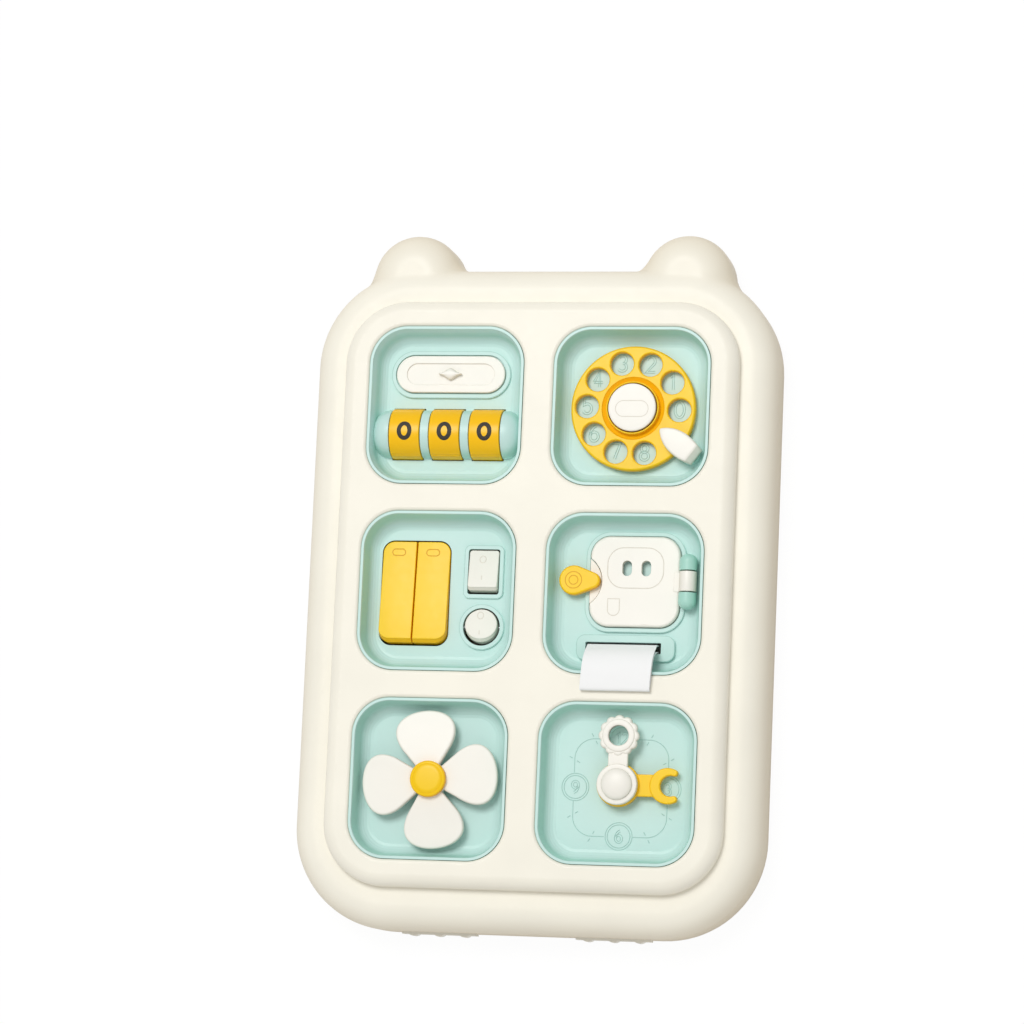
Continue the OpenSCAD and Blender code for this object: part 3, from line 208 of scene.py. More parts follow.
def dressed(name, points, faces, paint, body, sharp=None):
    """A mesh from points in millimetres, painted, riding on a body. sharp is the angle past which an edge
    stays hard. Each vertex keeps its steepness, 1 - |z of its normal|, for the paint's painted shade."""
    mesh = bpy.data.meshes.new(name)
    mesh.from_pydata((np.asarray(points, float) / 1000).tolist(), [], faces)
    solid = bmesh.new()
    solid.from_mesh(mesh)
    if solid.calc_volume(signed=True) < 0:
        bmesh.ops.reverse_faces(solid, faces=solid.faces)
        solid.to_mesh(mesh)
    solid.free()
    mesh.update()
    upright = np.empty((len(mesh.vertices), 3))
    mesh.vertex_normals.foreach_get("vector", upright.ravel())
    mesh.attributes.new("steepness", "FLOAT", "POINT").data.foreach_set("value", 1 - np.abs(upright[:, 2]))
    mesh.shade_smooth()
    if sharp:
        mesh.set_sharp_from_angle(angle=math.radians(sharp))
    mesh.materials.append(paint)
    piece = bpy.data.objects.new(name, mesh)
    bpy.context.scene.collection.objects.link(piece)
    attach(piece, body)
    return piece


def ring_faces(rows, count):
    """Quads between successive closed rows of count points each, row 0 first."""
    i, j = np.meshgrid(np.arange(rows - 1), np.arange(count), indexing="ij")
    k = (j + 1) % count
    low, high = i * count, (i + 1) * count
    return np.stack([low + j, low + k, high + k, high + j], -1).reshape(-1, 4).tolist()


def rounded_line(width, height, radius, centre=(0, 0), bends=16, runs=1):
    """A closed line round a rectangle with round corners, anticlockwise from the right side's upper end:
    four quarter circles of bends steps joined by straight sides of runs steps. radius is one value or one
    per corner, from the upper right round to the lower right. Returns points and outward normals."""
    radii = np.broadcast_to(radius, 4)
    points, normals = [], []
    for turn in range(4):
        sx, sy = ((1, 1), (-1, 1), (-1, -1), (1, -1))[turn]
        angle = np.radians(90 * turn + np.linspace(0, 90, bends + 1))
        across = np.stack([np.cos(angle), np.sin(angle)], -1)
        corner = np.array([sx * (width / 2 - radii[turn]), sy * (height / 2 - radii[turn])])
        arc = corner + radii[turn] * across
        points.append(arc)
        normals.append(across)
        if runs > 1:
            nx, ny = ((-1, 1), (-1, -1), (1, -1), (1, 1))[turn]
            after = radii[(turn + 1) % 4]
            ahead = np.array([nx * (width / 2 - after), ny * (height / 2 - after)]) + after * across[-1]
            share = np.linspace(0, 1, runs + 1)[1:-1, None]
            points.append(arc[-1] + (ahead - arc[-1]) * share)
            normals.append(np.repeat(across[-1:], runs - 1, 0))
    return np.concatenate(points) + np.asarray(centre, float), np.concatenate(normals)


GRID_Y = -8.4  # middle of the trays and of the raised face
CASE_Y, HALF_X, HALF_Y, BEND = -9.6, 131, 185.5, 56  # the case's middle, half sizes and corners
EAR_X, EAR_Y, EAR_R = 77.5, CASE_Y + HALF_Y - 4.1, 25.5
ROLL_R, EAR_ROLL_R = 14, 17.5  # radii of the two rolls
ROLL_Z, EAR_ROLL_Z = 22, 16  # the heights at which they start
PARTING_Z, WALL = 8.05, 2.6  # where the front shell ends, and its thickness
FACE = (223, 327, 35, (0, GRID_Y), 56)  # the raised face's outline, for rounded_line


def ear_union(x, y):
    """Signed distance outside the case's outline, and outside the plain case: a rounded rectangle 262 x 371
    with corners of 56, joined to two ear circles of radius 25.5 by a smooth minimum 9 mm wide."""
    wide = 9
    qx = np.abs(x) - (HALF_X - BEND)
    qy = np.abs(y - CASE_Y) - (HALF_Y - BEND)
    case = np.hypot(np.maximum(qx, 0), np.maximum(qy, 0)) + np.minimum(np.maximum(qx, qy), 0) - BEND
    ear = np.hypot(np.abs(x) - EAR_X, y - EAR_Y) - EAR_R
    blend = np.maximum(wide - np.abs(case - ear), 0) / wide
    return np.minimum(case, ear) - blend ** 2 * wide / 4, case


def shoulder_height(x, y):
    """Height of the front outside the raised face: the case's quarter-circle roll of radius
    14 up to the shoulder at 36, joined by a smooth maximum 2.5 mm wide to the ears' longer
    roll of radius 17.5 up to 33.5."""
    wide = 2.5
    union, case = ear_union(x, y)
    inside = np.clip(-case, -6, ROLL_R)
    rise = np.sqrt(np.maximum(ROLL_R ** 2 - (ROLL_R - np.maximum(inside, 0)) ** 2, 0))
    roll = ROLL_Z + np.where(inside > 0, rise, 3 * inside)
    deep = np.clip(-union, 0, EAR_ROLL_R)
    ear = EAR_ROLL_Z + np.sqrt(np.maximum(EAR_ROLL_R ** 2 - (EAR_ROLL_R - deep) ** 2, 0))
    blend = np.maximum(wide - np.abs(roll - ear), 0) / wide
    return np.maximum(roll, ear) + blend ** 2 * wide / 4


def case_shoulder():
    """Rays leave the raised face's foot along its outward normals and end on the outline, found by
    bisection. Along a ray the distance is s = S sin(90 t), which crowds the steps where the roll turns
    down, and the height is shoulder_height. Then come the skirt down to the parting line, a wall 2.6
    thick, and the way back inside."""
    line, normal = rounded_line(*FACE, 60)
    foot = np.concatenate([np.linspace(-4.5, 4.5, 26)[:, None] + s * 53.5 for s in (-1, 1)])
    extra = np.hstack([foot, np.full_like(foot, GRID_Y + 163.5)])
    line = np.concatenate([line, extra])
    normal = np.concatenate([normal, np.repeat([[0.0, 1.0]], len(extra), 0)])
    around = np.where(normal[:, 0] ** 2 < 1e-12, 0, 1)
    order = np.argsort(np.arctan2(line[:, 1] - GRID_Y, line[:, 0]) + 1e-9 * around)
    line, normal = line[order], normal[order]
    near, far = np.zeros(len(line)), np.full(len(line), 75.0)
    for _ in range(40):
        middle = (near + far) / 2
        at = line + normal * middle[:, None]
        outside = ear_union(at[:, 0], at[:, 1])[0] > 0
        near, far = np.where(outside, near, middle), np.where(outside, middle, far)
    share = np.sin(np.linspace(0, math.pi / 2, 40))
    reach = near[None, :] * share[:, None]
    flat = line[None] + normal[None] * reach[..., None]
    height = shoulder_height(flat[..., 0], flat[..., 1])
    top = np.concatenate([flat, height[..., None]], -1)
    rim = top[-1]
    ahead, behind = np.roll(rim[:, :2], -1, 0), np.roll(rim[:, :2], 1, 0)
    along = ahead - behind
    out = np.stack([along[:, 1], -along[:, 0]], -1) / np.linalg.norm(along, axis=1)[:, None]
    rows = [np.concatenate([line, np.full((len(line), 1), 34.2)], -1)] + list(top)
    for level in (0.7, 0.35, 0.0):
        rows.append(np.concatenate([rim[:, :2], PARTING_Z + (rim[:, 2:] - PARTING_Z) * level], -1))
    for z in (PARTING_Z, 16.0):
        rows.append(np.concatenate([rim[:, :2] - WALL * out, np.full((len(line), 1), z)], -1))
    points = np.concatenate(rows)
    count = len(line)
    faces = ring_faces(len(rows), count)
    last = (len(rows) - 1) * count
    j = np.arange(count)
    k = (j + 1) % count
    faces += np.stack([last + j, last + k, k, j], -1).tolist()
    return points, [face[::-1] for face in faces]


points, faces = case_shoulder()
shoulder = dressed("case_shoulder", points, faces, cream, "board", sharp=50)
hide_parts("front_shell")


# ---- Case front: raised face ----
# The middle of the same moulding stands 10 mm proud with a broad soft edge, and has six windows with
# rounded mouths that frame the trays.

def plate_mesh(rims):
    """A closed plate. Each rim is (line, normal into the material, low, high, soft). Its wall climbs from
    low to high - soft and follows p = line + normal * soft (1 - cos a), z = high - soft (1 - sin a) for a
    from 0 to 90 degrees. soft is one value or one per point. The top and bottom are triangulated between
    the rims. Returns points, faces and a normal per corner."""
    points, faces, corner_normals, tops, feet, start = [], [], [], [], [], 0
    for line, into, low, high, soft in rims:
        count = len(line)
        soft = np.broadcast_to(soft, count)
        steps = 9 if soft.max() > 0.25 else 3
        angle = np.radians(np.linspace(0, 90, steps))
        flat = line[None] + into[None] * ((1 - np.cos(angle))[:, None] * soft)[..., None]
        level = high - soft * (1 - np.sin(angle))[:, None]
        rings = [np.column_stack([line, np.full(count, low)])]
        slopes = [np.column_stack([-into, np.zeros(count)])]
        for i in range(steps):
            rings.append(np.column_stack([flat[i], level[i]]))
            slopes.append(np.column_stack([-into * math.cos(angle[i]), np.full(count, math.sin(angle[i]))]))
        slope = np.concatenate(slopes)
        quads = np.array(ring_faces(len(rings), count))
        faces += (quads + start).tolist()
        corner_normals.append(slope[quads.ravel()])
        points += rings
        feet.append((start, rings[0]))
        start += len(rings) * count
        tops.append((start - count, rings[-1]))
    for ends, sign in ((tops, 1), (feet, -1)):
        index = np.concatenate([first + np.arange(len(ring)) for first, ring in ends])
        flat = np.concatenate([ring[:, :2] for _, ring in ends])
        loops = [[Vector((p[0], p[1], 0)) for p in ring] for _, ring in ends]
        triangles = np.array(tessellate_polygon(loops))
        a, b, c = flat[triangles[:, 0]], flat[triangles[:, 1]], flat[triangles[:, 2]]
        turn = (b[:, 0] - a[:, 0]) * (c[:, 1] - a[:, 1]) - (b[:, 1] - a[:, 1]) * (c[:, 0] - a[:, 0])
        wrong = turn * sign < 0
        triangles[wrong] = triangles[wrong][:, ::-1]
        faces += index[triangles].tolist()
        corner_normals.append(np.tile([0.0, 0.0, float(sign)], (triangles.size, 1)))
    return np.concatenate(points), faces, np.concatenate(corner_normals)


def plate(name, rims, paint, body, turn=None):
    """A plate in millimetres with its own shading normals. turn is a 4 x 4 matrix that places it."""
    points, faces, normals = plate_mesh(rims)
    if turn is not None:
        turn = np.array(turn)
        points = points @ turn[:3, :3].T + turn[:3, 3]
        normals = normals @ turn[:3, :3].T
    piece = dressed(name, points, faces, paint, body)
    piece.data.normals_split_custom_set(normals.tolist())
    return piece


def solid_rim(line_and_normal, low, high, soft):
    """An outer rim for plate_mesh: the material lies against the line's outward normal."""
    line, normal = line_and_normal
    return line, -normal, low, high, soft


def hole_rim(line_and_normal, low, high, soft):
    """A hole's rim for plate_mesh, run the other way round, with the material on its outward side."""
    line, normal = line_and_normal
    return line[::-1], normal[::-1], low, high, soft


trays = {"lock": (-52.5, 95.8), "dial": (52.5, 95.8), "switch": (-52.5, -8.4), "door": (52.5, -8.4),
         "fan": (-52.5, -112.6), "clock": (52.5, -112.6)}
FACE_Z = 46
rims = [solid_rim(rounded_line(*FACE), 34.3, FACE_Z, 7)]
for middle in trays.values():
    rims.append(hole_rim(rounded_line(88, 89, 21, middle, 24), 43.4, FACE_Z, 2))
face = plate("case_face", rims, cream, "board")
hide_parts("front_shell")


# ---- Case back, feet and fasteners ----
# The back shell is a shallow pan in the same cream. Two soft silicone pads with three toes each are let
# into the lower edge. Screws and pins are plain steel.

steel, t, skin = new_paint("plain_steel", Metallic=1.0, Base_Color=(0.56, 0.57, 0.59, 1))
place = add_node(t, "TexCoord")
brush = add_node(t, "TexNoise", Scale=900.0)
gloss = add_node(t, "MapRange", To_Min=0.25, To_Max=0.42)
join(t, (place, "Object", brush, "Vector"), (brush, "Fac", gloss, "Value"),
     (gloss, "Result", skin, "Roughness"))

silicone = moulded_plastic("soft_silicone", as_linear(240, 238, 230), 0.55, 0.015, 0.06)


def repaint(paint, *names):
    """Gives carried-over solids a finish."""
    for name in names:
        for slot in node[name].material_slots:
            slot.material = paint


# The back shell lies wholly in the cream's painted shade.
repaint(cream, "back_shell")
repaint(silicone, "foot_pads")
repaint(steel, "case_screws", "tray_screws", "knob_clip", "wheel_axle", "button_clip", "long_axle",
        "square_pin", "round_pin", "hinge_pin", "latch_screw", "roller_axle", "fan_axle", "clock_post")
# The lock tray's paint gives 0.6 of the darker mint, as painted shade, from 35.5 to 38.5 mm up, fading out
# at 33.4 and 41.5: on its walls and its housing's lower sides.
lock_mint = moulded_plastic("lock_tray_mint_abs", MINT, 0.36, deep=MINT_PAINTED_SHADE,
                            bands=((33.4, 0), (35.5, 0.6), (38.5, 0.6), (41.5, 0)))
repaint(mint, "tray_dial", "tray_switch", "tray_door", "tray_fan", "tray_clock")
repaint(lock_mint, "tray_lock")
repaint(white, "strike_plate", "ribbon_roller", "dial_washer")


# ---- Lock tray: lock plate and thumb-turn ----
# A pill-shaped white plate lies on the mint floor inside a low bezel, with a shallow recess. The thumb-turn
# is a lens-shaped fin with a swelling middle, and its shaft is clipped under the floor.

def skinned(name, rows, paint, body, sharp=40, loop=False):
    """A closed skin through rows of points, each row a closed ring of the same count. The two ends get flat
    caps, or the last row joins the first when loop is set."""
    rows = np.asarray(rows, float)
    count, width = rows.shape[:2]
    faces = ring_faces(count, width)
    last = (count - 1) * width
    j = np.arange(width)
    if loop:
        k = (j + 1) % width
        faces += np.stack([last + j, last + k, k, j], -1).tolist()
    else:
        faces += [j[::-1].tolist(), (last + j).tolist()]
    return dressed(name, rows.reshape(-1, 3), faces, paint, body, sharp=sharp)


def lathe(profile, centre, axis="z", steps=96):
    """Rows for skinned: each (radius, height) point of a profile turned about an axis through centre. A
    point is centre + height along the axis + radius (cos a, sin a) across it."""
    angle = np.linspace(0, 2 * math.pi, steps, endpoint=False)
    rows = []
    for radius, height in profile:
        c, s, h = radius * np.cos(angle), radius * np.sin(angle), np.full(steps, height)
        rows.append(np.stack({"z": (c, s, h), "x": (h, s, c), "y": (s, h, c)}[axis], -1))
    return np.array(rows) + np.asarray(centre, float)


def corner(radius, height, bend, start, end, steps=6):
    """Profile points round a corner of the given bend, its centre at (radius,
    height), from start to end degrees."""
    return [(radius + bend * math.cos(math.radians(a)), height + bend * math.sin(math.radians(a)))
            for a in np.linspace(start, end, steps)]


FLOOR_Z = 32.0  # the trays' floors
PLATE_LOW, PLATE_TOP = 32.01, 34.6
lock_x, lock_y = trays["lock"][0], trays["lock"][1] + 19.2
spot = (lock_x, lock_y)
rims = [solid_rim(rounded_line(62.2, 20.9, 10.449, spot, 24), PLATE_LOW, PLATE_TOP, 0.7),
        hole_rim(rounded_line(50.0, 12.0, 5.999, spot, 24), 33.6, PLATE_TOP, 0.35)]
rim_piece = plate("lock_plate_rim", rims, white, "board")
rims = [solid_rim(rounded_line(50.8, 12.8, 6.399, spot, 24), PLATE_LOW, 33.8, 0.1),
        hole_rim(rounded_line(5.2, 5.2, 2.599, spot, 12), PLATE_LOW, 33.8, 0.1)]
recess = plate("lock_plate_recess", rims, white, "board")
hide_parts("lock_plate")
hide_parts("lock_plate")

across = np.linspace(0, 2 * math.pi, 120, endpoint=False)
reach = 6.7 * np.cos(across)
swell = np.exp(-(reach / 3.3) ** 2)
lens = np.stack([reach, np.sin(across) * (0.9 + 2.5 * swell)], -1)
fin = [np.column_stack([lens * 0.8 + spot, np.full(120, z)]) for z in (33.95, 34.7)]
for lift in np.radians(np.linspace(0, 90, 12)):
    leaning = 1 - math.cos(lift)
    narrow = np.stack([np.full(120, 1 - 0.1 * leaning), 1 - (0.7 + 0.22 * swell) * leaning], -1)
    fin.append(np.column_stack([lens * narrow + spot, np.full(120, 34.9 + 2.0 * math.sin(lift))]))
fin_piece = skinned("thumb_turn_fin", fin, white, "knob", 30)
shaft = skinned("thumb_turn_shaft", lathe([(2.5, 27.7), (2.5, 34.0)], (*spot, 0), steps=48), white, "knob")
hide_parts("turn_knob")
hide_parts("turn_knob")


def strokes(name, paths, width, rise, place, paint, body, section="bead"):
    """Raised lines. Each path is a flat line of (u, v) points, closed where its ends meet. Across
    it stands a low section, width wide and rise high: a bead, a flat strip or a pair of rails.
    place(u, v, h) gives the points at height h. Each path stands a little higher than the one
    before, so that no two tops share a plane."""
    half = {"bead": [(0.5, -0.4), (0.5, 0.1), (0.32, 0.75), (0.0, 1.0)],
            "strip": [(0.5, -0.4), (0.5, 0.55), (0.42, 1.0)],
            "rails": [(0.5, -0.4), (0.5, 0.6), (0.42, 1.0), (0.36, 1.0), (0.26, -0.3)]}[section]
    section = [(-across, up) for across, up in half] + [point for point in half[::-1] if point[0] > 0]
    points, faces, start = [], [], 0
    for layer, path in enumerate(paths):
        path = np.asarray(path, float)
        closed = np.linalg.norm(path[0] - path[-1]) < 1e-6
        if closed:
            path = path[:-1]
            ahead, behind = np.roll(path, -1, 0) - path, path - np.roll(path, 1, 0)
        else:
            step = np.diff(path, axis=0)
            ahead, behind = np.vstack([step, step[-1:]]), np.vstack([step[:1], step])
        ahead = ahead / np.linalg.norm(ahead, axis=1)[:, None]
        behind = behind / np.linalg.norm(behind, axis=1)[:, None]
        mean = ahead + behind
        mean = mean / np.linalg.norm(mean, axis=1)[:, None]
        mitre = 1 / np.maximum(np.sum(mean * ahead, 1), 0.6)
        side = np.stack([mean[:, 1], -mean[:, 0]], -1) * mitre[:, None]
        for across, up in section:
            u, v = (path + side * across * width).T
            points.append(np.stack(place(u, v, np.full(len(path), up * rise + 0.004 * layer)), -1))
        count, lanes = len(path), len(section)
        index = start + np.arange(lanes)[:, None] * count + np.arange(count)[None]
        reach = count if closed else count - 1
        for lane in range(lanes):
            a, b = index[lane], index[(lane + 1) % lanes]
            faces += np.stack([a, np.roll(a, -1), np.roll(b, -1), b], -1)[:reach].tolist()
        if not closed:
            faces += [index[:, 0].tolist(), index[::-1, -1].tolist()]
        start += count * lanes
    return dressed(name, np.concatenate(points), faces, paint, body, sharp=35)


def level(centre, z):
    """A place function for strokes on a level surface at z, about a centre."""
    return lambda u, v, h: (centre[0] + u, centre[1] + v, z + h)


def closed(line):
    """A closed path for strokes from a rounded_line."""
    return np.vstack([line[0], line[0][:1]])


# A darker mint for fine raised lines on the mint floor and bezels, as painted shade.
painted_shade_mint_line = moulded_plastic("mint_painted_shade_line", as_linear(172, 209, 201), 0.45, 0.01, 0.03)
# A fine line of darker mint round the bezel's top edge is painted shade.
strokes("lock_bezel_painted_shade_line", [closed(rounded_line(67.7, 26.4, 13.19, (0, 0), 24))], 0.3, 0.06,
        level(spot, FLOOR_Z + 1.5), painted_shade_mint_line, "board")


# ---- Lock tray: number wheels ----
# Three hollow yellow wheels turn on a steel axle in a half-round mint housing. Each carries three bold
# printed digits, with a fine rib between one digit's field and the next.

def bend(x, y, wide, high, start, end, steps=18):
    """An elliptic arc."""
    angle = np.radians(np.linspace(start, end, steps + 1))
    return np.stack([x + wide * np.cos(angle), y + high * np.sin(angle)], -1)


six = [bend(0, -0.2, 0.27, 0.3, 90, 450), bend(0.26, -0.16, 0.53, 0.66, 180, 105)]
digits = {
    0: [bend(0, 0, 0.3, 0.5, 90, 450, 36)],
    1: [[(-0.16, 0.3), (0.04, 0.5), (0.04, -0.5)]],
    2: [np.vstack([bend(0, 0.21, 0.27, 0.29, 165, -35), [(-0.27, -0.5), (0.3, -0.5)]])],
    3: [bend(-0.01, 0.24, 0.25, 0.26, 150, -80), bend(-0.01, -0.24, 0.28, 0.26, 80, -150)],
    4: [[(0.1, -0.5), (0.1, 0.5), (-0.28, -0.2)], [(-0.28, -0.2), (0.3, -0.2)]],
    5: [np.vstack([[(0.24, 0.5), (-0.18, 0.5), (-0.22, 0.06)], bend(-0.01, -0.18, 0.28, 0.32, 122, -150)])],
    6: six,
    7: [[(-0.27, 0.5), (0.27, 0.5), (-0.08, -0.5)]],
    8: [bend(0, 0.26, 0.22, 0.24, 90, 450), bend(0, -0.24, 0.27, 0.26, 90, 450)],
    9: [-path for path in six],
}


def figure(value, height, u=0.0, v=0.0, wide=1.0):
    """A digit's paths at a height, its middle at (u, v)."""
    return [np.asarray(path) * [height * wide, height] + [u, v] for path in digits[value]]


golden = moulded_plastic("golden_abs", as_linear(255, 196, 0), 0.34, 0.02, 0.02)
print_ink = moulded_plastic("digit_ink", as_linear(56, 52, 46), 0.6, 0.03, 0.05)
WHEEL_R = 14.2
for body, shift, name in (("wheel_left", -22.8, "number_wheel_1"), ("wheel_middle", 0, "number_wheel_2"),
                          ("wheel_right", 22.8, "number_wheel_3")):
    hub = np.array([lock_x + shift, trays["lock"][1] - 14.8, 31.6])
    half = ([(2.06, 8.3), (5.0, 8.3), (5.0, 3.0), (11.6, 3.0), (11.6, 8.6)]
            + corner(WHEEL_R - 0.5, 8.1, 0.5, 90, 0, 5))
    turned = lathe(half + [(r, -h) for r, h in half[::-1]], hub, "x", 144)
    drum = skinned(body + "_drum", turned, golden, body, loop=True)
    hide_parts(name)

    def on_wheel(u, v, h):
        """(u, v) in millimetres on the drum's skin, v running round it from the top towards +Y."""
        around = v / WHEEL_R
        return hub[0] + u, hub[1] + (WHEEL_R + h) * np.sin(around), hub[2] + (WHEEL_R + h) * np.cos(around)

    third = WHEEL_R * math.radians(120)
    printed = [np.asarray(path) + [0.3, turn * third] for turn, value in ((0, 0), (1, 1), (2, 2))
               for path in figure(value, 8.3, wide=1.22)]
    strokes(body + "_digits", printed, 2.4, 0.08, on_wheel, print_ink, body, "strip")
    rib_off = WHEEL_R * math.radians(56)
    ribs = [[(u, turn * third + side * rib_off) for u in (-8.0, 8.0)]
            for turn in range(3) for side in (-1, 1)]
    strokes(body + "_ribs", ribs, 0.45, 0.14, on_wheel, golden, body)


# ---- Dial tray ----
# The yellow finger wheel has nine holes with soft edges, over digits on the mint floor. A collar with a
# lip surrounds the white button, which stands on a steel coil spring. The collar's band is painted a
# darker orange-yellow as painted shade in its groove, and its lip has the plain, brighter yellow. The finger
# stop is pressed on a post.

dial = trays["dial"]
DISC_LOW, DISC_TOP = 33.4, 37.6
hole_places = [(26 * math.cos(math.radians(36 * k - 38)), 26 * math.sin(math.radians(36 * k - 38)))
               for k in range(1, 10)]


def round_line(radius, centre, bends=24):
    """A circle for plate_mesh."""
    return rounded_line(2 * radius, 2 * radius, radius - 1e-6, centre, bends)


rims = [solid_rim(round_line(35, dial, 48), DISC_LOW, DISC_TOP, 1.3),
        hole_rim(round_line(17.5, dial, 32), DISC_LOW, DISC_TOP, 0.25)]
for x, y in hole_places:
    rims.append(hole_rim(round_line(6.5, (dial[0] + x, dial[1] + y), 18), DISC_LOW, DISC_TOP, 0.9))
wheel = plate("finger_wheel", rims, yellow, "dial")
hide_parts("dial_ring")
profile = [(9.06, DISC_LOW), (17.48, DISC_LOW), (17.48, 37.25), (17.3, 37.4), (17.0, 37.2), (15.0, 36.35),
           (14.6, 36.3), (13.8, 36.3), (13.8, 35.5), (9.06, 35.5)]
# The band takes the darker, more orange yellow as painted shade in its groove.
band = skinned("dial_collar_band", lathe(profile, (*dial, 0), steps=144), groove_painted_shade_yellow, "dial", 30, loop=True)
profile = [(13.85, 36.2), (15.0, 36.2), (14.9, 39.3)] + corner(14.4, 39.4, 0.5, 0, 180, 7) + [(13.9, 39.3)]
lip = skinned("dial_collar_lip", lathe(profile, (*dial, 0), steps=144), yellow, "dial", 50, loop=True)
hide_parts("dial_collar")
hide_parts("dial_collar")


def crown_z(r):
    """Height of the button's shallow dome at a radius."""
    return 41.5 - 0.2 * (r / 12.9) ** 2


profile = ([(4.0, 24.1), (4.0, 39.7), (12.3, 39.7), (12.3, 37.9), (13.2, 37.9), (13.35, 38.1)]
           + corner(12.75, 40.7, 0.6, 0, 80, 6) + [(r, crown_z(r)) for r in (12, 9, 6, 3, 1)])
push = skinned("push_button", lathe(profile, (*dial, 0), steps=144), white, "button")
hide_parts("dial_button")


def coil(radius, wire, low, high, turns):
    """Rows for skinned: a round wire along a helix about the dial's centre. At the angle a of the helix
    and b of the wire a point is ((radius + wire cos b) cos a, (radius + wire cos b) sin a, low + (high -
    low) a / a_end + wire sin b)."""
    a = np.linspace(0, 2 * math.pi * turns, 36 * turns + 1)
    b = np.linspace(0, 2 * math.pi, 10, endpoint=False)
    reach = radius + wire * np.cos(b)
    climb = low + (high - low) * a[:, None] / a[-1] + wire * np.sin(b)
    return np.stack([dial[0] + np.outer(np.cos(a), reach), dial[1] + np.outer(np.sin(a), reach), climb], -1)


spring = skinned("button_return_spring", coil(5.6, 0.5, 30.52, 39.18, 5), steel, "board", 60)
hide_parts("button_spring")
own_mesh(spring)


def on_crown(u, v, h):
    """A place function for strokes on the button's dome."""
    return dial[0] + u, dial[1] + v, crown_z(np.hypot(u, v)) + h


# A darker white for fine raised marks on white pieces, as painted shade.
painted_shade_white_line = moulded_plastic("white_painted_shade_line", as_linear(226, 221, 209), 0.5, 0.01, 0.03)
strokes("button_pill_line", [closed(rounded_line(18.3, 8.9, 4.4, (0, -0.8), 12, 12))], 0.4, 0.12, on_crown,
        painted_shade_white_line, "button")
# The digits under the holes are raised rails in the darker mint of painted shade.
under_holes = [path for k, (x, y) in enumerate(hole_places) for path in figure(k, 8.6, x - 0.8, y + 1.2)]
strokes("dial_digits", under_holes, 1.5, 0.3, level(dial, FLOOR_Z), painted_shade_mint_line, "board", "rails")

turn = math.radians(-37)
along, beside = np.array([math.cos(turn), math.sin(turn)]), np.array([-math.sin(turn), math.cos(turn)])
sections, quarter = [], np.radians(np.linspace(0, 90, 7))
for s in np.concatenate([np.linspace(0.004, 0.16, 9), np.linspace(0.2, 0.88, 14), np.linspace(0.885, 1, 6)]):
    half = 6.8 * math.sin(math.radians(133 * s ** 0.72))
    top = 43.2 - 0.9 * math.exp(-18 * s) - 3.6 * max(0.0, (s - 0.88) / 0.12)
    edge = min(1.3, 0.55 * half)
    ring = ([(-half, 38.25)]
            + [(-half + edge - edge * math.cos(a), top - edge + edge * math.sin(a)) for a in quarter]
            + [(half - edge + edge * math.sin(a), top - edge + edge * math.cos(a)) for a in quarter]
            + [(half, 38.25)])
    sections.append([(*(np.array(dial) + along * (20.4 + 25.6 * s) + beside * w), z) for w, z in ring])
stop = skinned("finger_stop_arm", sections, white, "board", 50)
foot = np.array(dial) + along * 41
post = skinned("finger_stop_post", lathe([(4, 32), (4, 38.6)], (*foot, 0), steps=48), white, "board")
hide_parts("finger_stop")
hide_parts("finger_stop")


# ---- Rocker switches ----
# Two long yellow rockers share a window, and a square and a round white rocker have bezels of their own.
# Each rocks on a steel pin under the floor, and carries a fine moulded mark.

switch = trays["switch"]
# The rockers' white darkens on steep sides towards its second colour, as painted shade.
satin = moulded_plastic("satin_white_abs", as_linear(240, 238, 229), 0.46, deep=as_linear(212, 206, 192))
# A darker yellow for fine raised marks on yellow pieces, as painted shade.
painted_shade_yellow_line = moulded_plastic("yellow_painted_shade_line", as_linear(228, 166, 30), 0.45, 0.01, 0.03)


def tilted(x, y, drop, degrees):
    """The frame of a rocker: its origin on the pivot, tipped so that its upper end is pressed in."""
    return (Matrix.Translation((switch[0] + x, switch[1] + y, FLOOR_Z - drop))
            @ Matrix.Rotation(math.radians(-degrees), 4, "X"))


def on_frame(matrix, z):
    """A place function for strokes on the top of a tilted piece."""
    turn = np.array(matrix)

    def place(u, v, h):
        flat = np.stack([u, v, z + h], -1) @ turn[:3, :3].T + turn[:3, 3]
        return flat[..., 0], flat[..., 1], flat[..., 2]
    return place


def paddle(name, line_and_normal, top, edge, bevel, drop, paint, body, matrix):
    """A rocker's cap. Its sides climb to top - drop. Above that the lower end leans in by bevel:
    with s the distance from the lower end, s becomes bevel + s (10 - bevel) / 10 up to s = 10. The
    other sides round over by edge."""
    line, normal = line_and_normal
    turn = np.array(matrix)
    low = line[:, 1].min()
    rows = [np.column_stack([line, np.full(len(line), z)]) for z in (-0.6, top - drop - 0.3, top - drop)]
    for a in np.radians(np.linspace(0, 90, 6)):
        flat = line - normal * (0.15 + edge * (1 - math.cos(a)))
        s = flat[:, 1] - low
        flat[:, 1] = low + np.where(s < 10, bevel + s * (10 - bevel) / 10, s)
        rows.append(np.column_stack([flat, np.full(len(line), top - edge * (1 - math.sin(a)))]))
    rows = np.array(rows) @ turn[:3, :3].T + turn[:3, 3]
    return skinned(name, rows, paint, body, 12)


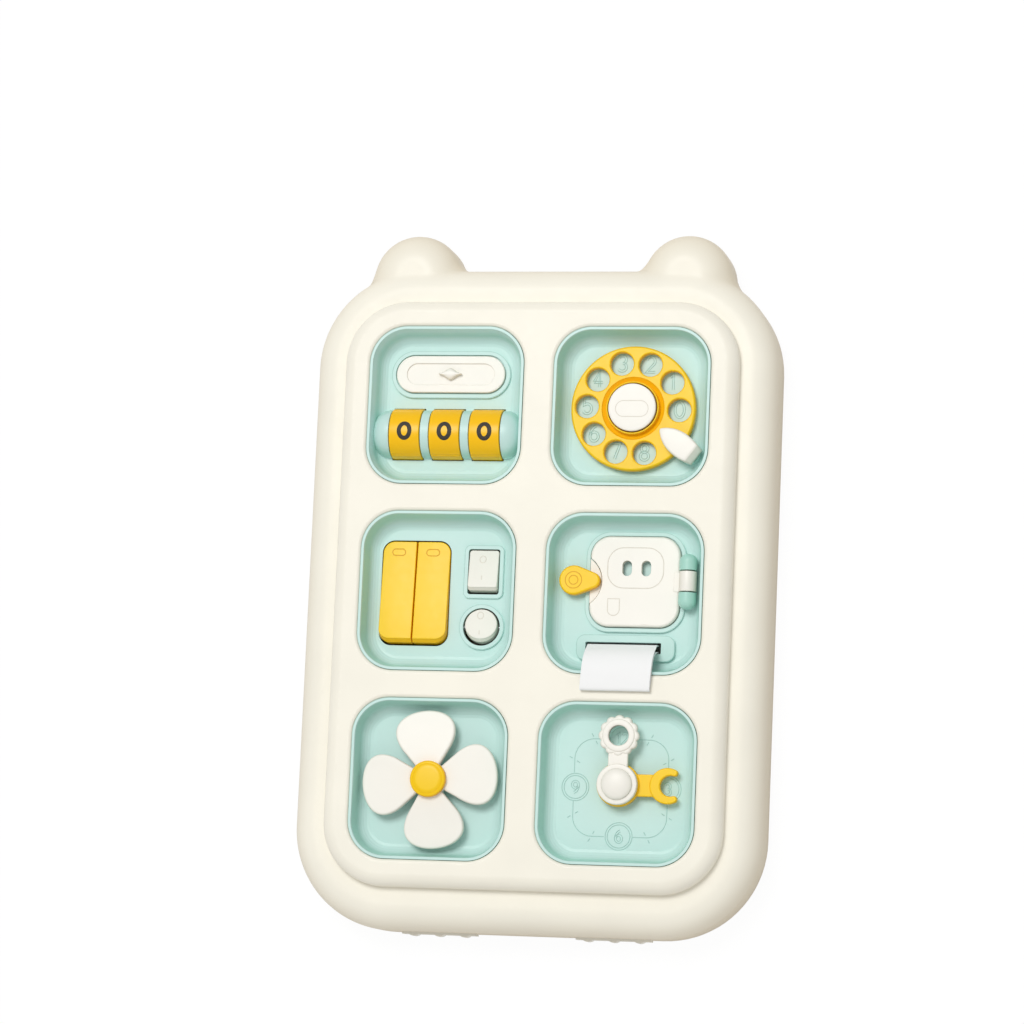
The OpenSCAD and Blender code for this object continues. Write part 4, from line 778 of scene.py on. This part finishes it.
LONG_TOP, SMALL_TOP = 7.4, 6.0  # above the pivots
SMALL_X, SQUARE_Y, ROUND_Y = 23.7, 12.4, -18.4
for body, side, name in (("long_rocker_left", -1, "rocker_left"), ("long_rocker_right", 1, "rocker_right")):
    frame_of = tilted(-15 + side * 9.75, 0, 5, 5)
    radii = (0.7, 6.5, 6.5, 0.7) if side < 0 else (6.5, 0.7, 0.7, 6.5)
    rim = rounded_line(19.1, 57, radii, (0, 0), 14)
    cap = paddle(body + "_cap", rim, LONG_TOP, 0.5, 1.5, 2.2, yellow, body, frame_of)
    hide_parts(name)
    # The mark is raised in the darker yellow of painted shade.
    strokes(body + "_mark", [closed(rounded_line(7.4, 3.7, 1.84, (-0.5, 22.2), 10))], 0.55, 0.16,
            on_frame(frame_of, LONG_TOP), painted_shade_yellow_line, body)

for body, y, rim, name, marks in (
        ("square_switch", SQUARE_Y, rounded_line(17, 22.8, 1.7, (0, 0), 10), "rocker_square", (6.0, -4.6)),
        ("round_switch", ROUND_Y, round_line(9.2, (0, 0), 30), "rocker_round", (5.4, -4.2))):
    frame_of = tilted(SMALL_X, y, 3.5, 9)
    cap = paddle(body + "_cap", rim, SMALL_TOP, 0.5, 1.1, 1.8, satin, body, frame_of)
    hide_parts(name)
    # The O and I mark is raised in the darker white of painted shade.
    bar = [(-0.7, marks[1] - 1.2), (-0.7, marks[1] + 1.2)]
    strokes(body + "_mark", [bend(-0.6, marks[0], 1.75, 1.95, 90, 450, 28), bar], 0.5, 0.16,
            on_frame(frame_of, SMALL_TOP), painted_shade_white_line, body)
# Fine lines of darker mint round the two bezels' top edges are painted shade.
bezels = [closed(rounded_line(22.0, 29.4, 3.25, (SMALL_X, SQUARE_Y), 10)),
          closed(round_line(12.5, (SMALL_X, ROUND_Y)))]
strokes("rocker_bezel_painted_shade_lines", bezels, 0.3, 0.06, level(switch, FLOOR_Z + 1.2), painted_shade_mint_line, "board")


# ---- Door, hinge and latch ----
# The white door lies in a low mint rim. It has two peep slots inside a moulded plaque line, and
# its own knuckle turns on a steel pin. The yellow teardrop latch turns on a shouldered stem
# over a notch in the door's edge.

tray = np.array(trays["door"])
middle = tray + [4.4, 7.9]
pivot = tray + [-29.2, 7.9]
LEAF_LOW, LEAF_TOP, NOTCH_R = 32.3, 36.0, 15.4
line, normal = rounded_line(50.2, 50.2, 11, middle, 20, 8)
away = np.hypot(*(line - pivot).T)
outer = np.where(away > NOTCH_R)[0]
first = outer[np.argmax(np.diff(np.concatenate([outer[-1:] - len(line), outer])))]
order = (first + np.arange(len(outer))) % len(line)
order = order[away[order] > NOTCH_R]
line, normal = line[order], normal[order]
start, end = np.arctan2(*(line[-1] - pivot)[::-1]), np.arctan2(*(line[0] - pivot)[::-1])
sweep = np.linspace(start, end, 26)[1:-1]
spoke = np.stack([np.cos(sweep), np.sin(sweep)], -1)
soft = np.concatenate([np.full(len(line), 1.5), np.full(len(spoke), 0.3)])
line = np.concatenate([line, pivot + NOTCH_R * spoke])
normal = np.concatenate([normal, -spoke])
rims = [solid_rim((line, normal), LEAF_LOW, LEAF_TOP, soft)]
for side in (-1, 1):
    slot = rounded_line(5.2, 8.5, 2.59, middle + [0.9 + side * 5.35, 7.3], 10)
    rims.append(hole_rim(slot, LEAF_LOW, LEAF_TOP, 0.26))
leaf = plate("door_leaf_panel", rims, white, "door_leaf")
strap_line = rounded_line(8.2, 11.0, 0.4, tray + [30.3, 7.9], 4)
strap = plate("door_hinge_strap", [solid_rim(strap_line, 32.9, 36.25, 0.3)], white, "door_leaf")
roll = ([(1.66, -5.55), (4.5, -5.55)] + corner(4.5, -5.2, 0.35, -90, 0, 4) + corner(4.5, 5.2, 0.35, 0, 90, 4)
        + [(1.66, 5.55)])
turned = lathe(roll, (*(tray + [34.4, 7.9]), 38.2), "y", 72)
knuckle = skinned("door_hinge_knuckle", turned, white, "door_leaf", loop=True)
for piece in (leaf, strap, knuckle):
    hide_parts("door")
on_leaf = level(middle, LEAF_TOP)
# The plaque line and the pull mark are raised in the darker white of painted shade.
strokes("door_plaque_line", [closed(rounded_line(31.2, 22.4, 9, (0.3, 7.5), 14))], 0.55, 0.14, on_leaf,
        painted_shade_white_line, "door_leaf")
grip = np.vstack([[(-3.3, 4.6)], bend(0, -1.3, 3.3, 3.4, 180, 360, 16), [(3.3, 4.6), (-3.3, 4.6)]])
strokes("door_pull_mark", [grip + [-11.3, -14.3]], 0.5, 0.12, on_leaf, painted_shade_white_line, "door_leaf")
# Fine lines of darker mint round the door's rim and the slot's raised bar are painted shade.
strokes("door_rim_painted_shade_line", [rounded_line(55.3, 55.3, 13.45, (0, 0), 16)[0]], 0.3, 0.06,
        level(middle, FLOOR_Z + 1.5), painted_shade_mint_line, "board")
strokes("slot_bar_painted_shade_line", [closed(rounded_line(54.4, 13.9, 4.75, (0.3, -28.7), 12))], 0.3, 0.06,
        level(tray, FLOOR_Z + 2.5), painted_shade_mint_line, "board")

head_r, tip_r, tip_off, LATCH_TOP = 8.2, 4.5, 10.1, 39.3
lean = math.degrees(math.acos((head_r - tip_r) / tip_off))
drop = np.concatenate([bend(0, 0, head_r, head_r, lean, 360 - lean, 48),
                       bend(tip_off, 0, tip_r, tip_r, -lean, lean, 24)])
drop_normal = np.concatenate([bend(0, 0, 1, 1, lean, 360 - lean, 48), bend(0, 0, 1, 1, -lean, lean, 24)])
rims = [solid_rim((drop + pivot, drop_normal), 34.8, LATCH_TOP, 1.2)]
teardrop = plate("latch_teardrop", rims, yellow, "door_latch")
stem = skinned("latch_stem", lathe([(2.5, 29.7), (2.5, 35.2)], (*pivot, 0), steps=36), yellow, "door_latch")
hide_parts("latch")
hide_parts("latch")
# The rings are raised in the darker yellow of painted shade.
strokes("latch_rings", [bend(0, 0, 4.6, 4.6, 0, 360, 48), bend(0, 0, 2.5, 2.5, 0, 360, 32)], 0.45, 0.12,
        level(pivot, LATCH_TOP), painted_shade_yellow_line, "door_latch")


# ---- Ribbon ----
# A woven white ribbon is sewn into a loop. It runs round the hidden roller, up through the slot in the
# raised bar, and out over the tray's lower rim.

weave, t, skin = new_paint("woven_ribbon", Roughness=0.7, Sheen_Weight=0.25)
place = add_node(t, "TexCoord")
threads = []
for turn_z in (0.0, math.pi / 2):
    lay = add_node(t, "Mapping", Rotation=(0, 0, turn_z))
    rows = add_node(t, "TexWave", Scale=620.0, Distortion=0.4)
    join(t, (place, "Object", lay, "Vector"), (lay, "Vector", rows, "Vector"))
    threads.append(rows)
cross = add_node(t, "Math")
cross.operation = "MULTIPLY"
join(t, (threads[0], "Fac", cross, 0), (threads[1], "Fac", cross, 1))
shade = add_node(t, "ValToRGB")
shade.color_ramp.elements[0].color = as_linear(244, 245, 246) + [1]
shade.color_ramp.elements[1].color = as_linear(254, 254, 254) + [1]
lift = add_node(t, "Bump", Strength=0.1, Distance=0.0002)
join(t, (cross, 0, shade, "Fac"), (shade, "Color", skin, "Base Color"), (cross, 0, lift, "Height"),
     (lift, "Normal", skin, "Normal"))

SLOT_Y, RIM_Y = -28.7, -44.5
ROLLER_Z, TURN_R = 13, 5.7
under = [(SLOT_Y + y, ROLLER_Z + z) for y, z in bend(0, 0, TURN_R, TURN_R, 0, -180, 9)]
out_of_slot = [(SLOT_Y + y, z) for y, z in ((-2.65, 28), (-2.7, 34), (-3.0, 36.5), (-4.0, 40), (-5.2, 42.4),
                                            (-7.4, 44.5))]
over_rim = [(RIM_Y + y, z) for y, z in (
    (5.2, 45.9), (1, 46.5), (-3.4, 46.5), (-7, 46.6), (-8.6, 46.9), (-9.4, 47.6), (-9.6, 48.5), (-9, 49.4),
    (-7.4, 49.9), (-3, 50.1), (2, 49.9), (6.4, 49.0), (10.2, 47.0), (13.2, 44.0), (15.6, 40.0))]
into_slot = [(SLOT_Y + y, z) for y, z in ((1.5, 37), (1.9, 34), (2.2, 28))]
knots = np.array(under + out_of_slot + over_rim + into_slot)
before, after, beyond = np.roll(knots, 1, 0), np.roll(knots, -1, 0), np.roll(knots, -2, 0)
square_part = 2 * before - 5 * knots + 4 * after - beyond
cube_part = 3 * knots - before - 3 * after + beyond
course = []  # a Catmull-Rom curve through the knots
for share in np.linspace(0, 1, 6, endpoint=False):
    course.append(0.5 * (2 * knots + (after - before) * share + square_part * share ** 2
                         + cube_part * share ** 3))
course = np.stack(course, 1).reshape(-1, 2)
heading = np.roll(course, -1, 0) - np.roll(course, 1, 0)
inward = np.stack([heading[:, 1], -heading[:, 0]], -1) / np.linalg.norm(heading, axis=1)[:, None]
rows = []
aslant = -1.2 * np.clip((-31 - course[:, 0]) / 22, 0, 1)  # it drifts a little to the left as it falls
for depth, x in ((0.1, -19.3), (0.1, 19.3), (0.4, 19.4), (0.7, 19.3), (0.7, -19.3), (0.4, -19.4)):
    flat = course + inward * depth
    rows.append(np.column_stack([tray[0] - 0.9 + x + aslant, flat + [tray[1], 0]]))
ribbon = skinned("sewn_ribbon", rows, weave, "board", 50, loop=True)
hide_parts("ribbon")


# ---- Fan ----
# Four white petals droop slightly from a hub on a steel pin, moulded in one piece. The yellow cap is pushed
# over the hub's spigot and has a rounded edge.

fan = trays["fan"]
egg = [(22.85 + 15.35 * math.cos(a), 16.2 * math.sin(a) * (1 + 0.28 * math.cos(a)))
       for a in np.radians(np.linspace(-120, 120, 91))]
egg = np.array(egg + [(4.0, 4.2), (4.0, -4.2)])
heading = np.roll(egg, -1, 0) - np.roll(egg, 1, 0)
egg_normal = np.stack([heading[:, 1], -heading[:, 0]], -1) / np.linalg.norm(heading, axis=1)[:, None]
HUB_Z, ROOT = 39, 7.5  # the hub's foot, and where a petal leaves it
for number in range(4):
    turn = (Matrix.Translation((*fan, HUB_Z)) @ Matrix.Rotation(math.radians(7.5 + 90 * number), 4, "Z")
            @ Matrix.Translation((ROOT, 0, 0.4)) @ Matrix.Rotation(math.radians(4), 4, "Y")
            @ Matrix.Translation((-ROOT, 0, 0)))
    petal = plate("petal_%d" % (number + 1), [solid_rim((egg, egg_normal), 0, 3, 1.3)], white, "fan", turn)
    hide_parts("fan_blades")
profile = [(2.56, 39.0), (10.0, 39.0), (10.0, 42.4), (9.8, 42.6), (7.6, 42.6), (7.6, 44.2), (2.56, 44.2)]
hub = skinned("fan_hub", lathe(profile, (*fan, 0)), white, "fan", loop=True)
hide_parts("fan_blades")
profile = ([(0.4, 45.0), (7.65, 45.0), (7.65, 42.6), (9.9, 42.6), (10.0, 42.75)]
           + corner(8.8, 44.9, 1.2, 0, 75, 8)
           + [(8.5, 46.22), (8.3, 46.06), (8.1, 46.28), (6, 46.42), (0.4, 46.5)])
cap = skinned("fan_cap_shell", lathe(profile, (*fan, 0), steps=120), yellow, "fan", 50)
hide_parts("fan_cap")


# ---- Clock ----
# A yellow open spanner points to three and a white ring spanner to twelve. Both turn on a
# steel post under a domed white cap. A rounded square with four numbered circles and short
# ticks is moulded in the mint floor.

clock = np.array(trays["clock"])
OPEN_Z, RING_Z = 35.6, 39.4


def hub_disc(name, radius, z, paint, body):
    """A spanner's hub, bored for the post."""
    profile = ([(3.06, z), (radius - 0.2, z), (radius, z + 0.2)]
               + corner(radius - 0.8, z + 2.6, 0.8, 0, 90, 6) + [(3.06, z + 3.4)])
    return skinned(name, lathe(profile, (*clock, 0), steps=120), paint, body, loop=True)


outer_x, inner_x, outer_r, inner_r, tip_r = 27.3, 28.9, 9.9, 5.6, 1.85
to_outer, to_inner = outer_r - tip_r, inner_r + tip_r
tip_x = (outer_x + inner_x) / 2 + (to_outer ** 2 - to_inner ** 2) / (2 * (inner_x - outer_x))
tip_y = math.sqrt(to_outer ** 2 - (tip_x - outer_x) ** 2)
open_a = math.degrees(math.atan2(tip_y, tip_x - outer_x))
mouth_a = math.degrees(math.atan2(tip_y, tip_x - inner_x))
arcs = ((outer_x, 0, outer_r, open_a, 360 - open_a, 60, 1),
        (tip_x, -tip_y, tip_r, -open_a, 180 - mouth_a, 16, 1),
        (inner_x, 0, inner_r, -mouth_a, mouth_a - 360, 48, -1),
        (tip_x, tip_y, tip_r, mouth_a - 180, open_a, 16, 1))
jaw = np.concatenate([bend(x, y, r, r, a, b, n)[:-1] for x, y, r, a, b, n, _ in arcs])
jaw_normal = np.concatenate([sign * bend(0, 0, 1, 1, a, b, n)[:-1] for _, _, _, a, b, n, sign in arcs])
rims = [solid_rim((jaw + clock, jaw_normal), OPEN_Z, OPEN_Z + 3.4, 0.9)]
crescent = plate("open_spanner_jaw", rims, yellow, "open_hand")
rims = [solid_rim(rounded_line(14.4, 12.2, 0.8, clock + [14.4, 0], 6), OPEN_Z + 0.2, OPEN_Z + 2.4, 0.7)]
arm = plate("open_spanner_arm", rims, yellow, "open_hand")
for piece in (crescent, arm, hub_disc("open_spanner_hub", 11.95, OPEN_Z, yellow, "open_hand")):
    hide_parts("hand_open")

RING_R = 11.4  # over the scallops, which meet every 30 degrees
sine, cosine = math.sin(math.radians(15)), math.cos(math.radians(15))
lobe_r = RING_R * sine * 1.04
lobe_at = RING_R - lobe_r
meet = lobe_at * cosine + math.sqrt(lobe_r ** 2 - (lobe_at * sine) ** 2)
half_a = math.degrees(math.atan2(meet * sine, meet * cosine - lobe_at))
ring_at = clock + [0, 26.6]
lobes, lobe_normals = [], []
for k in range(12):
    a = 90 + 30 * k
    heart = lobe_at * np.array([math.cos(math.radians(a)), math.sin(math.radians(a))])
    lobes.append(bend(*heart, lobe_r, lobe_r, a - half_a, a + half_a, 12))
    lobe_normals.append(bend(0, 0, 1, 1, a - half_a, a + half_a, 12))
scallops = np.concatenate(lobes) + ring_at, np.concatenate(lobe_normals)
rims = [solid_rim(scallops, RING_Z, RING_Z + 2.8, 1.6),
        hole_rim(round_line(5.5, ring_at), RING_Z, RING_Z + 2.8, 0.3)]
flower = plate("ring_spanner_scallops", rims, white, "ring_hand")
profile = ([(5.5, RING_Z + 0.4)] + corner(6.3, RING_Z + 2.6, 0.8, 180, 90, 5)
           + corner(8.2, RING_Z + 2.6, 0.8, 90, 0, 5) + [(9.0, RING_Z + 0.4)])
bead = skinned("ring_spanner_bead", lathe(profile, (*ring_at, 0)), white, "ring_hand", 50, loop=True)
rims = [solid_rim(rounded_line(11, 13.2, 0.8, clock + [0, 14.4], 6), RING_Z + 0.2, RING_Z + 2.2, 0.7)]
arm = plate("ring_spanner_arm", rims, white, "ring_hand")
for piece in (flower, bead, arm, hub_disc("ring_spanner_hub", 11.2, RING_Z, white, "ring_hand")):
    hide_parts("hand_ring")
dome = [(8.6 * math.sin(a), 43.1 + 2.85 * math.cos(a)) for a in np.radians(np.linspace(88, 6, 16))]
turned = lathe([(3.02, 44.4), (3.02, 43.0), (8.6, 43.0)] + dome, (*clock, 0), steps=120)
knob = skinned("clock_dome", turned, white, "board", 50)
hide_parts("clock_cap")

SPOT_R = 7.5
spots = [(0, 25.7), (26.4, -1.3), (0.3, -27.7), (-24.8, -1.3)]
track, half_track, track_bend = np.array([0.4, -1.3]), np.array([26.1, 26.7]), 11
square, _ = rounded_line(*(2 * half_track), track_bend, track, 14, 40)
seen = np.min([np.hypot(square[:, 0] - x, square[:, 1] - y) for x, y in spots], axis=0) > SPOT_R
starts = np.where(seen & ~np.roll(seen, 1))[0]
dashes = []
for s in starts:
    run = [square[s % len(square)]]
    while seen[(s + 1) % len(square)] and len(run) < len(square):
        s += 1
        run.append(square[s % len(square)])
    dashes.append(np.array(run))
rings = [bend(x, y, r, r, 0, 360, 40) for x, y in spots for r in (SPOT_R, 6.3)]
labels = (figure(1, 5.8, -1.7, 25.7) + figure(2, 5.8, 1.9, 25.7) + figure(3, 6.3, *spots[1])
          + figure(6, 6.3, *spots[2]) + figure(9, 6.3, *spots[3]))
ticks = []
for hour in (1, 2, 4, 5, 7, 8, 10, 11):
    a = math.radians(90 - 30 * hour)
    ray = np.array([math.cos(a), math.sin(a)])
    reach = min(half_track / abs(ray))
    corner_at = np.sign(ray) * (half_track - track_bend)
    if all(abs(ray * reach) > abs(corner_at)):
        along_ray = ray @ corner_at
        reach = along_ray + math.sqrt(max(track_bend ** 2 - (corner_at @ corner_at - along_ray ** 2), 0))
    for middle_of in (reach - 2.4, reach + 2.4):
        ticks.append([track + ray * (middle_of - 0.95), track + ray * (middle_of + 0.95)])
# The lines, rings, ticks and digits are raised in the darker mint of painted shade.
strokes("clock_lines", dashes + rings + ticks, 0.42, 0.2, level(clock, FLOOR_Z), painted_shade_mint_line, "board")
strokes("clock_digits", labels, 1.4, 0.3, level(clock, FLOOR_Z), painted_shade_mint_line, "board", "rails")
